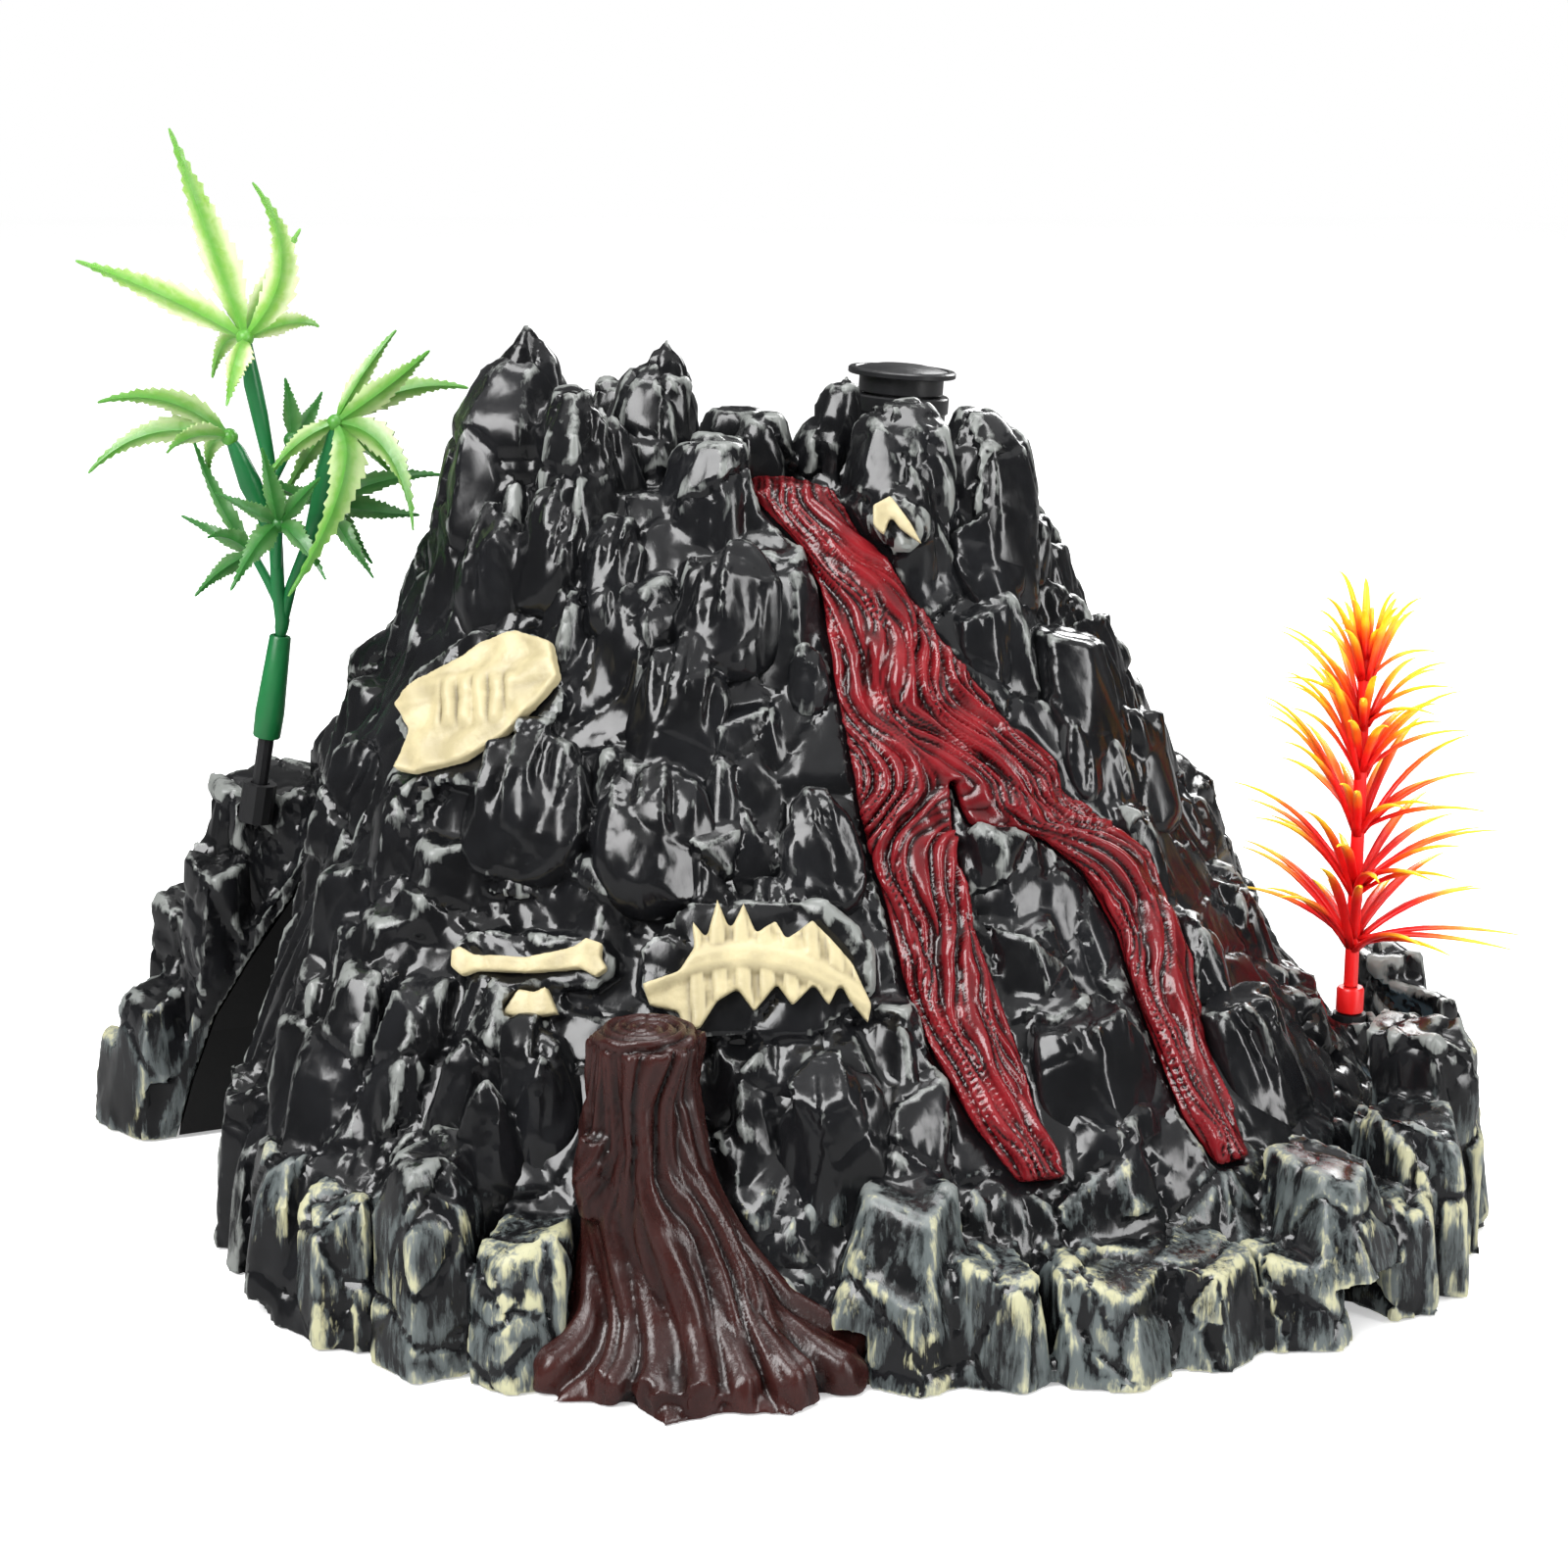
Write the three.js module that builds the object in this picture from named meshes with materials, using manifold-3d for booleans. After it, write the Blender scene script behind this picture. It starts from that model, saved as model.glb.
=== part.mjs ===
// Volcano bubbling ornament: hollow rock shell, lava stream, tree stump, fossils,
// cave, pool, two plug-in plants and the air-driven bubble outlet in the crater.
// Millimetres, +Z up, the front of the rock faces -Y.
// Origin: middle of the base plate's underside.
import * as THREE from 'three';
import { mergeVertices } from 'three/addons/utils/BufferGeometryUtils.js';
import Module from 'manifold-3d';

const wasm = await Module();
wasm.setup();

// ---------------------------------------------------------------- sizes
const GAP = 0.3;            // clearance at cut faces and between loose pieces
const WALL = 3.5;           // rock shell wall, measured level
const SQUARE = 2.4;         // how square the rock's plan outline is
const CORE_SIDES = 28;      // facets round the core
// Core of the rock: height, half width, half depth, middle x, middle y
const CORE = [
  [0, 126, 98, -4, 0],
  [25, 116, 88, -4, 0],
  [55, 92.5, 67, -6, 2],
  [90, 71.5, 51, -8, 4],
  [125, 51.5, 35, -8, 8],
  [134, 45, 29.5, -8, 9],
];
const TOP = CORE[CORE.length - 1][0];
const PLATEAU_PULL = 1.5;   // how fast the surface runs inwards on the plateau
// The front left flank is drawn in beside the cave: depth at the foot, height, middle angle, half width
const DENT = { deep: 22, top: 70, angle: THREE.MathUtils.degToRad(-157), half: THREE.MathUtils.degToRad(37) };

const PLATE = { thick: 4, gap: 0.4 };
const SCREW = { head: 2.8, socket: 1.3, headDeep: 2, shank: 1.5, long: 12, boss: 4, bossTop: 46 };
const SCREW_AT = [[-58, -66], [95, -36], [92, 34], [22, 79], [-66, 62]];
const INTAKE = { r: 3, ring: 31, count: 6 };

const STACK = {
  x: 22, y: 15, rim: 148.6, lean: 4, r: 8.75, bore: 7.15, long: 47, collar: 12, collarThick: 2.2,
};
const CAP = { flange: 10.2, flangeThick: 1.2, dome: 0.9, neck: 8, neckTall: 3.3, plug: 6.85, plugLong: 14 };
const RISER = { r: 6.85, bore: 5.5, from: 40, to: 112 };
const HOOD = { mouth: 24, mouthZ: 20, neck: 9, neckFrom: 40, neckTo: 50, wall: 1.8, bore: 7.15 };
const AIR_STONE = { x: 14.6, y: 15, r: 7, from: 4.3, to: 18, nipple: 1.9, nippleLong: 8 };
const HOSE = { bore: 2.6, r: 3.2, z: 11 };
const INLET = { x: 30, z: 11, face: 98.5, bossW: 26, bossTop: 25, hole: 5, barbEnd: 113 };
const BALLAST = [
  { name: 'ballast_left', x: -28, y: 56, w: 64, d: 16, h: 14, turn: 0.12 },
  { name: 'ballast_right', x: 64, y: -20, w: 18, d: 56, h: 14, turn: 0.1 },
];

// Cave on the left flank: near jamb foot, direction of the mouth line, tunnel depth
const CAVE = { x: -126, y: 12, ux: 0.403, uy: -0.915, deep: 56, outside: 30, liner: 1.8 };
// Cave outline: along the mouth line, height
const CAVE_OUTLINE = [
  [0, 0], [2, 22], [7, 44], [14, 62], [21, 73], [27, 76.5],
  [32, 75], [37, 67], [43, 47], [49, 23], [54, 0],
];

const POOL = { x: 116, y: 1, rx: 11.5, ry: 12.5, bed: 16.5, water: 22.3, sides: 14 };

const GREEN = { x: -103.3, y: 20, z: 71, lean: 10, peg: 1.6, pegIn: 9, socket: 3.4, socketTall: 7 };
const SLEEVE = {
  from: 10.2, long: 20.5, foot: 2.7, top: 2.1, pegBore: 1.6, pinBore: 1.25, pegDeep: 11, web: 1.2,
};
const RED = { x: 107.6, y: -9, z: 33, peg: 1.6, pegIn: 8, socket: 3.2, socketTall: 6, stem: 1.3, tall: 70 };

// ---------------------------------------------------------------- helpers
function random(seed) {
  let state = seed * 7919 + 17;
  return () => {
    state = (state * 1103515245 + 12345) % 2147483648;
    return state / 2147483648;
  };
}

// Turn a geometry into a solid: only positions, shared corners, facing out
function solid(geometry) {
  const plain = geometry.clone();
  for (const key of Object.keys(plain.attributes)) {
    if (key !== 'position') plain.deleteAttribute(key);
  }
  const merged = mergeVertices(plain, 1e-4);
  const pos = merged.attributes.position.array;
  const kept = [];
  let volume = 0;
  const corner = (k) => new THREE.Vector3(pos[3 * k], pos[3 * k + 1], pos[3 * k + 2]);
  const idx = merged.index.array;
  for (let i = 0; i < idx.length; i += 3) {
    const [a, b, c] = [idx[i], idx[i + 1], idx[i + 2]];
    if (a === b || b === c || c === a) continue;
    kept.push([a, b, c]);
    volume += corner(a).dot(corner(b).cross(corner(c)));
  }
  const tris = kept.flatMap(([a, b, c]) => (volume < 0 ? [a, c, b] : [a, b, c]));
  const mesh = new wasm.Mesh({
    numProp: 3,
    vertProperties: new Float32Array(pos),
    triVerts: new Uint32Array(tris),
  });
  return new wasm.Manifold(mesh);
}

function geometryOf(body) {
  const mesh = body.getMesh();
  const geometry = new THREE.BufferGeometry();
  const pos = new Float32Array(mesh.vertProperties);
  geometry.setAttribute('position', new THREE.BufferAttribute(pos, 3));
  geometry.setIndex(new THREE.BufferAttribute(new Uint32Array(mesh.triVerts), 1));
  return geometry;
}

function joined(bodies) {
  return bodies.reduce((all, one) => all.add(one));
}

// Solid skin through matching rings of points, closed by fans at both ends
function loft(rings) {
  const n = rings[0].length;
  const pos = rings.flat().flatMap((p) => [p.x, p.y, p.z]);
  const idx = [];
  for (let i = 0; i + 1 < rings.length; i++) {
    for (let j = 0; j < n; j++) {
      const a = i * n + j;
      const b = i * n + ((j + 1) % n);
      idx.push(a, b, b + n, a, b + n, a + n);
    }
  }
  const lastRing = rings.length - 1;
  const ends = [[rings[0], 0, false], [rings[lastRing], lastRing * n, true]];
  for (const [ring, start, last] of ends) {
    const mid = ring.reduce((sum, p) => sum.add(p), new THREE.Vector3()).divideScalar(n);
    const hub = pos.length / 3;
    pos.push(mid.x, mid.y, mid.z);
    for (let j = 0; j < n; j++) {
      const a = start + j;
      const b = start + ((j + 1) % n);
      idx.push(...(last ? [hub, a, b] : [hub, b, a]));
    }
  }
  const geometry = new THREE.BufferGeometry();
  geometry.setAttribute('position', new THREE.Float32BufferAttribute(pos, 3));
  geometry.setIndex(idx);
  return solid(geometry);
}

function box(w, d, h, x, y, z, turn = 0) {
  const geometry = new THREE.BoxGeometry(w, d, h).rotateZ(turn).translate(x, y, z + h / 2);
  return solid(geometry);
}

function rod(r, from, to, sides, x = 0, y = 0) {
  const geometry = new THREE.CylinderGeometry(r, r, to - from, sides).rotateX(Math.PI / 2);
  return solid(geometry.translate(x, y, (from + to) / 2));
}

// Turned piece about +Z from [radius, height] pairs
function turned(profile, sides) {
  const points = profile.map(([r, z]) => new THREE.Vector2(r, z));
  return new THREE.LatheGeometry(points, sides).rotateX(Math.PI / 2);
}

function ring(outer, inner, from, to, sides) {
  return turned([[inner, from], [outer, from], [outer, to], [inner, to], [inner, from]], sides);
}

// Prism from a plan outline of [x, y] pairs
function prism(outline, from, to) {
  const shape = new THREE.Shape(outline.map(([x, y]) => new THREE.Vector2(x, y)));
  const geometry = new THREE.ExtrudeGeometry(shape, { depth: to - from, bevelEnabled: false });
  return geometry.translate(0, 0, from);
}

// Outline of [x, y] pairs pushed outwards by d
function grown(outline, d) {
  const n = outline.length;
  const area = outline.reduce((sum, [x, y], i) => {
    const [nx, ny] = outline[(i + 1) % n];
    return sum + x * ny - nx * y;
  }, 0);
  const side = Math.sign(area);
  return outline.map(([x, y], i) => {
    const [px, py] = outline[(i + n - 1) % n];
    const [nx, ny] = outline[(i + 1) % n];
    const before = new THREE.Vector2(y - py, px - x).normalize();
    const after = new THREE.Vector2(ny - y, x - nx).normalize();
    const out = before.clone().add(after).normalize();
    const stretch = Math.min(2, 1 / Math.max(0.3, out.dot(before)));
    return [x + side * d * stretch * out.x, y + side * d * stretch * out.y];
  });
}

function mesh(name, shape, color, roughness, metalness = 0) {
  const geometry = shape.isBufferGeometry ? shape : geometryOf(shape);
  const piece = new THREE.Mesh(geometry, new THREE.MeshStandardMaterial({ color, roughness, metalness }));
  piece.name = name;
  return piece;
}

const BLACK = 0x151517;
const IVORY = 0xe3d6a6;

// ---------------------------------------------------------------- rock core
function coreAt(z) {
  const level = Math.max(CORE[0][0], Math.min(z, TOP));
  let i = 0;
  while (i < CORE.length - 2 && CORE[i + 1][0] < level) i++;
  const [low, high] = [CORE[i], CORE[i + 1]];
  const t = (level - low[0]) / (high[0] - low[0]);
  const [, rx, ry, cx, cy] = low.map((v, k) => v + (high[k] - v) * t);
  return { rx, ry, cx, cy };
}

// Point on the core's skin; above the top edge it runs inwards on the plateau
function corePoint(theta, z, inset = 0) {
  const { rx, ry, cx, cy } = coreAt(z);
  const turn = Math.atan2(Math.sin(theta - DENT.angle), Math.cos(theta - DENT.angle)) / DENT.half;
  const dent = Math.abs(turn) < 1 ? DENT.deep * Math.cos((turn * Math.PI) / 2) ** 2 : 0;
  const pull = inset + Math.max(0, z - TOP) * PLATEAU_PULL + dent * Math.max(0, 1 - z / DENT.top);
  const squash = (v) => Math.sign(v) * Math.abs(v) ** (2 / SQUARE);
  const x = cx + (rx - pull) * squash(Math.cos(theta));
  const y = cy + (ry - pull) * squash(Math.sin(theta));
  return new THREE.Vector3(x, y, Math.min(z, TOP));
}

// Angle of the front skin point that has this x
function frontAngle(x, z) {
  const { rx, cx } = coreAt(z);
  const part = Math.max(-0.999, Math.min(0.999, (x - cx) / rx));
  return -Math.acos(Math.sign(part) * Math.abs(part) ** (SQUARE / 2));
}

function coreNormal(theta, z) {
  const along = corePoint(theta + 0.02, z).sub(corePoint(theta - 0.02, z));
  const up = corePoint(theta, z + 1.5).sub(corePoint(theta, z - 1.5));
  return along.cross(up).normalize();
}

function coreSolid(inset, from, to) {
  const levels = [from, ...CORE.map(([z]) => z).filter((z) => z > from && z < to), to];
  return loft(levels.map((z) => {
    const points = [];
    for (let j = 0; j < CORE_SIDES; j++) {
      const point = corePoint((2 * Math.PI * j) / CORE_SIDES, Math.max(0, z), inset);
      point.z = z;
      points.push(point);
    }
    return points;
  }));
}

// ---------------------------------------------------------------- stones
// One hewn stone: foot and head of its face, outward direction, width, depth
function stone(foot, head, out, width, depth, seed, point = 0.72) {
  const any = random(seed);
  const across = new THREE.Vector3(-out.y, out.x, 0);
  const tall = head.z - foot.z;
  const half = width / 2;
  const plan = [
    [-half, -0.2 * width * (0.4 + any())],
    [0.36 * width * (any() - 0.5), 0.12 * width],
    [half, -0.2 * width * (0.4 + any())],
    [0.42 * width, -depth],
    [-0.42 * width, -depth],
  ];
  const twist = 0.16 * (any() - 0.5) * width;
  const levels = tall > 23 ? [[0, 1], [0.7, 0.95], [1, point]] : [[0, 1], [1, point + 0.08]];
  return loft(levels.map(([t, size]) => {
    const middle = foot.clone().lerp(head, t);
    const lid = t === 1 ? 0.13 * Math.min(tall, 22) : 0;
    return plan.map(([s, d]) => {
      const corner = middle.clone();
      corner.addScaledVector(across, s * size + twist * t);
      corner.addScaledVector(out, d - (1 - size) * 0.3 * width);
      corner.z += lid * (any() - 0.5) - lid * Math.max(0, d + 1) * 0.3;
      return corner;
    });
  }));
}

// Stone that grows out of the core's skin at this angle
function stoneOnCore(theta, z0, z1, width, proud, seed, point) {
  const tall = z1 - z0;
  const out = coreNormal(theta, (z0 + z1) / 2).setZ(0).normalize();
  const foot = corePoint(theta, z0 + 0.3 * tall).addScaledVector(out, proud).setZ(z0);
  const head = corePoint(theta, Math.min(TOP, z0 + 0.8 * tall)).addScaledVector(out, proud + 0.6).setZ(z1);
  const depth = 9 + foot.clone().sub(head).setZ(0).length() * 0.5;
  return stone(foot, head, out, width, depth, seed, point);
}

// Front stones: middle x, foot height, head height, width, how far proud
const FRONT = [
  [-93, 27, 52, 13, 2.6], [-84, 48, 70, 12, 2.6], [-83, 68, 90, 12, 2.6], [-84, 22, 46, 14, 3],
  [-65, 91, 129, 13, 3], [-56, 108, 127, 12, 3], [-76, 88, 118, 12, 2.5], [-88, 77, 97, 12, 3],
  [-26, 96, 121, 15, 3], [-13, 104, 124, 12, 2.6], [0, 99, 126, 13, 2.4], [-38, 97, 120, 13, 2.4],
  [-9, 80, 101, 18, 3], [-26, 75, 93, 16, 2.6], [-49, 80, 97, 16, 2.6], 
  [-47, 70, 84, 26, 3], [-60, 62, 77, 15, 2.6], [-32, 60, 78, 16, 3], [-12, 61, 84, 24, 4.5],
   [-71, 58, 88, 14, 2.6], 
  [-70, 50, 64, 13, 2.4], [-80, 44, 62, 11, 2.4], [-79, 24, 57, 13, 3.4], [-65, 27, 56, 12, 3.4],
  [-49, 26, 60, 18, 4], [-3, 43, 60, 20, 3.6], [-6, 26, 49, 12, 3],
  [8, 26, 51, 18, 3.6], [20, 36, 55, 14, 3], [21, 20, 44, 19, 3.4], [-90, 3, 28, 13, 4],
  [49, 112, 127, 12, 3], [54, 93, 117, 14, 3], [64, 90, 104, 10, 3], [58, 72, 98, 15, 3],
  [70, 78, 97, 12, 3], [79, 64, 80, 11, 3], [67, 62, 80, 14, 2.6], [82, 48, 76, 13, 3],
  [43, 94, 118, 13, 2.6],  [75, 38, 63, 13, 2.8], [88, 40, 63, 12, 3],
  [85, 26, 46, 13, 3], [97, 34, 47, 11, 2], [40, 60, 81, 14, 2.6], [44, 48, 65, 15, 2.6],
  [49, 38, 53, 15, 2.4], [57, 30, 50, 14, 2.4], [58, 22, 37, 18, 2.6],
];

// Ring stones at the foot: face x, face y, foot height, head height, width, pointed?
const FOOT = [
  [-103, -41, 0, 31, 14, 0], [-97, -54, 0, 26, 15, 0], [-89, -69, 0, 28, 16, 0],
  [-77, -86, 0, 25, 16, 0], [-62, -98, 0, 36, 18, 1],
  [-44, -103, 0, 24, 16, 0], [20, -101, 9, 31, 25, 1], [22, -104, 0, 17, 17, 0], [37, -104, 0, 20, 14, 0],
  [57, -101, 0, 18, 23, 0], [75, -94, 0, 18, 17, 0], [91, -87, 0, 15, 17, 0], [99, -82, 11, 29, 20, 1],
  [111, -72, 0, 20, 15, 0], [119, -62, 0, 31, 18, 0], [124, -46, 0, 41, 15, 0], [129, -32, 0, 24, 14, 0],
];

// Stones round the pool and behind it: face x, face y, foot, head, width
const POOLSIDE = [
  [131, -19, 0, 27, 15], [133, -5, 0, 29, 12], [133, 9, 0, 33, 15], [129, 23, 0, 38, 16],
  [101, -24, 20, 44, 15],
];

// Left flank steps outside the cave: x, y, foot, head, width, depth
const STEPS = [
  [-117, 20, 0, 57, 16, 24], [-107, 27, 30, 71, 24, 24], [-129, 20, 0, 30, 14, 22],
  [-135.5, 27, 0, 20, 14, 22],
  [-125, 36, 0, 45, 17, 26], [-114, 46, 0, 56, 20, 26],
];

// Crest horns: rings of x, y, z, half width, half depth
const HORNS = [
  [[-48, -5, 110, 18, 17], [-50, -4, 128, 15, 14], [-49, -2, 146, 11.5, 11], [-48, 0, 158, 7, 7],
    [-47.5, 1, 164, 3, 3]],
  [[-24, 0, 122, 12, 13], [-24, 1, 142, 10, 11], [-23, 3, 153, 7.5, 8], [-22.5, 4, 161, 3, 4]],
  [[-37, -18, 106, 11, 12], [-37, -16, 128, 9.5, 11], [-38, -14, 145, 7.5, 9], [-38, -12, 153, 4, 5]],
  [[-12, -18, 116, 11, 11], [-12, -17, 134, 10.5, 10.5], [-12, -15, 143.5, 8, 8]],
  [[21, -17, 112, 11, 12], [21.5, -16, 136, 11, 11], [22, -14, 146, 9, 9], [22, -12, 150, 5, 5]],
  [[36, -9, 110, 12, 14], [37, -8, 131, 11, 12], [36.5, -6, 142, 9, 10], [35, -4, 148, 4.5, 6]],
  [[8, -3, 122, 8, 8], [9, -2, 142, 7, 7], [11, -1, 152.5, 3, 3]],
  [[-5, -6, 120, 8, 8], [-5, -5, 138, 7, 7], [-4, -4, 146.5, 4, 4]],
  [[-30, 24, 120, 14, 11], [-31, 24, 140, 11, 9], [-31, 22, 150, 6, 5]],
  [[-8, 31, 118, 13, 9], [-8, 31, 136, 11, 8], [-9, 30, 144, 6, 5]],
  [[17, 31, 116, 12, 8], [17, 32, 134, 10, 6], [17, 32, 141, 5, 3]],
  [[38, 17, 112, 9, 11], [38.5, 17, 132, 7, 9], [39, 17, 140, 3.5, 5]],
];

function horn(rings, seed) {
  const any = random(seed);
  const sides = 7;
  const wobble = Array.from({ length: sides }, () => 0.84 + 0.24 * any());
  return loft(rings.map(([x, y, z, rx, ry]) => wobble.map((size, j) => {
    const angle = (2 * Math.PI * (j + 0.4)) / sides;
    const swell = size * (0.95 + 0.1 * any());
    return new THREE.Vector3(x + rx * swell * Math.cos(angle), y + ry * swell * Math.sin(angle), z);
  })));
}

// Rows of stones over the back and the sides: foot, head, width, first and last angle in degrees
const BACK_ROWS = [
  [0, 30, 36, 26, 154], [24, 58, 37, 14, 160], [52, 86, 36, -10, 174],
  [80, 110, 33, -12, 184], [104, 131, 30, -16, 190],
];

function backStones() {
  const stones = [];
  BACK_ROWS.forEach(([z0, z1, width, first, last], row) => {
    const any = random(31 + row);
    const { rx, ry } = coreAt((z0 + z1) / 2);
    const arc = (THREE.MathUtils.degToRad(last - first) * (rx + ry)) / 2;
    const count = Math.round(arc / width);
    for (let k = 0; k < count; k++) {
      const theta = THREE.MathUtils.degToRad(first + ((last - first) * (k + 0.5)) / count);
      const head = z1 + 8 * (any() - 0.5);
      const foot = Math.max(0, z0 - 3 * any());
      const spread = width * (0.95 + 0.2 * any());
      stones.push(stoneOnCore(theta, foot, head, spread, 3 + 2.5 * any(), 100 * row + k + 5));
    }
  });
  return stones;
}

function frontStones() {
  return FRONT.map(([x, z0, z1, width, proud], k) => {
    const theta = frontAngle(x, (z0 + z1) / 2);
    return stoneOnCore(theta, z0, z1, width, proud, 400 + k);
  });
}

// Direction away from the core's middle line, for stones set by plan position
function outFrom(x, y) {
  return new THREE.Vector3(x / 126 ** 2, y / 98 ** 2, 0).normalize();
}

function footStones() {
  const set = [];
  FOOT.forEach(([x, y, z0, z1, width, pointed], k) => {
    const out = outFrom(x, y);
    const foot = new THREE.Vector3(x, y, z0);
    const head = new THREE.Vector3(x, y, z1).addScaledVector(out, -2.5);
    set.push(stone(foot, head, out, width, 17, 500 + k, pointed ? 0.5 : 0.8));
  });
  POOLSIDE.forEach(([x, y, z0, z1, width], k) => {
    const out = outFrom(x, y);
    const foot = new THREE.Vector3(x, y, z0);
    const head = new THREE.Vector3(x, y, z1).addScaledVector(out, -2);
    set.push(stone(foot, head, out, width, 12, 540 + k, 0.8));
  });
  STEPS.forEach(([x, y, z0, z1, width, depth], k) => {
    const foot = new THREE.Vector3(x, y - 8, z0);
    const head = new THREE.Vector3(x + 2, y - 7, z1);
    set.push(stone(foot, head, new THREE.Vector3(-0.35, -0.94, 0), width, depth, 570 + k, 0.84));
  });
  return set;
}

// ---------------------------------------------------------------- lava
// Lava bands, top to bottom: height, middle x, width
const LAVA_MAIN = [
  [141, -1, 13], [134, 2, 14], [127, 8, 12], [119, 13.5, 14], [111, 17.5, 19],
  [103, 21, 24], [95, 25.5, 29], [87, 30, 35],
];
const LAVA_LEFT = [
  [93, 19, 13], [86, 20.5, 16], [78, 22, 15], [68, 24.5, 13.5], [57, 28, 15],
  [46, 32.5, 14], [36, 37.5, 11], [28, 43, 8],
];
const LAVA_RIGHT = [
  [94, 36, 12], [88, 38.6, 18.6], [83.5, 40, 18.4], [80.2, 43, 21], [77, 52, 12.5], [71, 58.5, 11],
  [61, 64, 10.5], [52, 66.5, 10], [42, 69.5, 8.5], [34, 72.5, 8], [26.5, 77, 5.5],
];
const LAVA = { back: 1.4, edge: 1, crown: 2.6, cut: 15 };

// Band lying on the rock face; sink is its depth, lift the front height at 0..1 across, drop moves it down
function band(levels, extra, sink, lift, drop) {
  const across = [0, 0.24, 0.5, 0.76, 1];
  return loft(levels.map(([z, x, width], row) => {
    const end = (row === levels.length - 1 ? -extra : row === 0 ? extra : 0) - drop;
    const wide = width + 2 * extra;
    const skin = (t, height) => {
      const theta = frontAngle(x + (t - 0.5) * wide, z + end);
      return corePoint(theta, z + end).addScaledVector(coreNormal(theta, z + end), height);
    };
    const front = across.map((t, k) => skin(t, lift(t, k + row)));
    const back = [1, 0.5, 0].map((t) => skin(t, -sink));
    return [...front, ...back];
  }));
}

function lavaShape(extra, sink, lift, drop = 0) {
  return joined([LAVA_MAIN, LAVA_LEFT, LAVA_RIGHT].map((levels) => band(levels, extra, sink, lift, drop)));
}

// Bed of the stream: a second, lower copy keeps the gap along its nearly level edges
function lavaBed() {
  const sink = LAVA.back + GAP;
  return joined([0, GAP].map((drop) => lavaShape(GAP, sink, () => LAVA.cut, drop)));
}

function lavaSolid() {
  const ropes = (t, k) => LAVA.edge + (LAVA.crown - LAVA.edge) * Math.sin(Math.PI * t) + (k % 2 ? 0.7 : -0.2);
  return lavaShape(0, LAVA.back, ropes);
}

// ---------------------------------------------------------------- stump
// Stump rings: height, middle x, middle y, half width, half depth, root lobes
const STUMP = [
  [0, -13.5, -91, 27.5, 22, 0.16], [4, -14, -90, 23.5, 20, 0.17], [10, -16.5, -89, 18, 16, 0.14],
  [20, -19.5, -88, 14.6, 13, 0.1], [34, -23, -87, 12.2, 11, 0.08], [46, -23.5, -86, 10.4, 10, 0.08],
  [54, -22.5, -86, 10.6, 10.4, 0.06], [56.5, -22.5, -86, 8.6, 8.6, 0.03],
];
const STUMP_SIDES = 18;

function stumpSolid(extra) {
  const whole = loft(STUMP.map(([z, x, y, rx, ry, lobes], row) => {
    const points = [];
    for (let j = 0; j < STUMP_SIDES; j++) {
      const angle = (2 * Math.PI * j) / STUMP_SIDES;
      const swell = 1 + lobes * (j % 2 ? 1 : -1) * (0.7 + 0.3 * Math.cos(3 * angle));
      const level = row === 0 ? z - extra : row === STUMP.length - 1 ? z + extra : z;
      const room = row === 0 ? 3 * extra : extra;
      points.push(new THREE.Vector3(
        x + (rx * swell + room) * Math.cos(angle),
        y + (ry * swell + room) * Math.sin(angle),
        level,
      ));
    }
    return points;
  }));
  const stump = whole.subtract(coreSolid(1.5 + extra, -5, 80));
  return FOSSILS.reduce((body, fossil) => body.subtract(plateSolid(fossil, GAP - extra, -1, 5)), stump);
}

// ---------------------------------------------------------------- fossils
// Fossil plates: middle, face direction, outline as seen from the front
const VIEW_DOWN = 0.235;    // slope of the direction the outlines are drawn in
const FOSSIL = { thick: 2.6, seat: 9, margin: 0.3 };
const FOSSILS = [
  { name: 'fossil_slab', at: [-53.5, -36, 99.5], face: [-0.41, -0.745, 0.525], outline: [
    [-15, -0.5], [-11, 4], [-2, 8], [1, 10.5], [7, 12.4], [13.5, 10.3], [15, 4],
    [12.5, 1], [5.5, -6], [-2, -10.4], [-11, -12.6], [-14.4, -12], [-12, -5]] },
  { name: 'fossil_skeleton', at: [-5, -69.5, 62], face: [0, -0.9, 0.436], outline: [
    [-18.7, -3.6], [-12.5, -1.5], [-10, 2.5], [-10.5, 7], [-8, 4], [-6.2, 10.5], [-4, 5.2], [-1.8, 9.8],
    [0.4, 4.8], [3.6, 7], [5.4, 3.8], [9.8, 7], [12, 4.8], [16.4, 0], [19.6, -7], [19, -9.8], [16, -6.2],
    [14.4, -3.2], [12.5, -7], [10, -3.4], [6.4, -7], [3.8, -3.4], [0, -8], [-2.8, -4.2], [-6.2, -6.2],
    [-9, -10.6], [-11.6, -11.4], [-12.6, -8], [-17.4, -7]] },
  { name: 'fossil_long_bone', at: [-43, -62.5, 60], face: [-0.2, -0.86, 0.47], outline: [
    [-13.4, 1.6], [-12, 2.4], [-9.6, 1], [0, 0.7], [8, 2.6], [10, 4], [12.6, 3.2], [12.2, 1],
    [13.5, -1], [11.5, -2.4], [9, -1], [0, -1.8], [-9, -1.6], [-11.6, -2.6], [-13.5, -1]] },
  { name: 'fossil_bone_chip', at: [-42.5, -65.5, 53.5], face: [-0.2, -0.86, 0.47], outline: [
    [-5, -2], [-2.2, 2.4], [0.8, 1.8], [2.6, 2.8], [4.6, -1.6], [0, -2.4]] },
  { name: 'fossil_claw', at: [20, -30, 131], face: [-0.1, -0.95, 0.3], outline: [
    [-4.2, 2.6], [-1.2, 4.4], [2.4, -0.6], [4.4, -4.4], [0.4, -1.4], [-1.2, 0.9], [-2.4, -2.6],
    [-4.2, -0.9]] },
];

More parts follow.
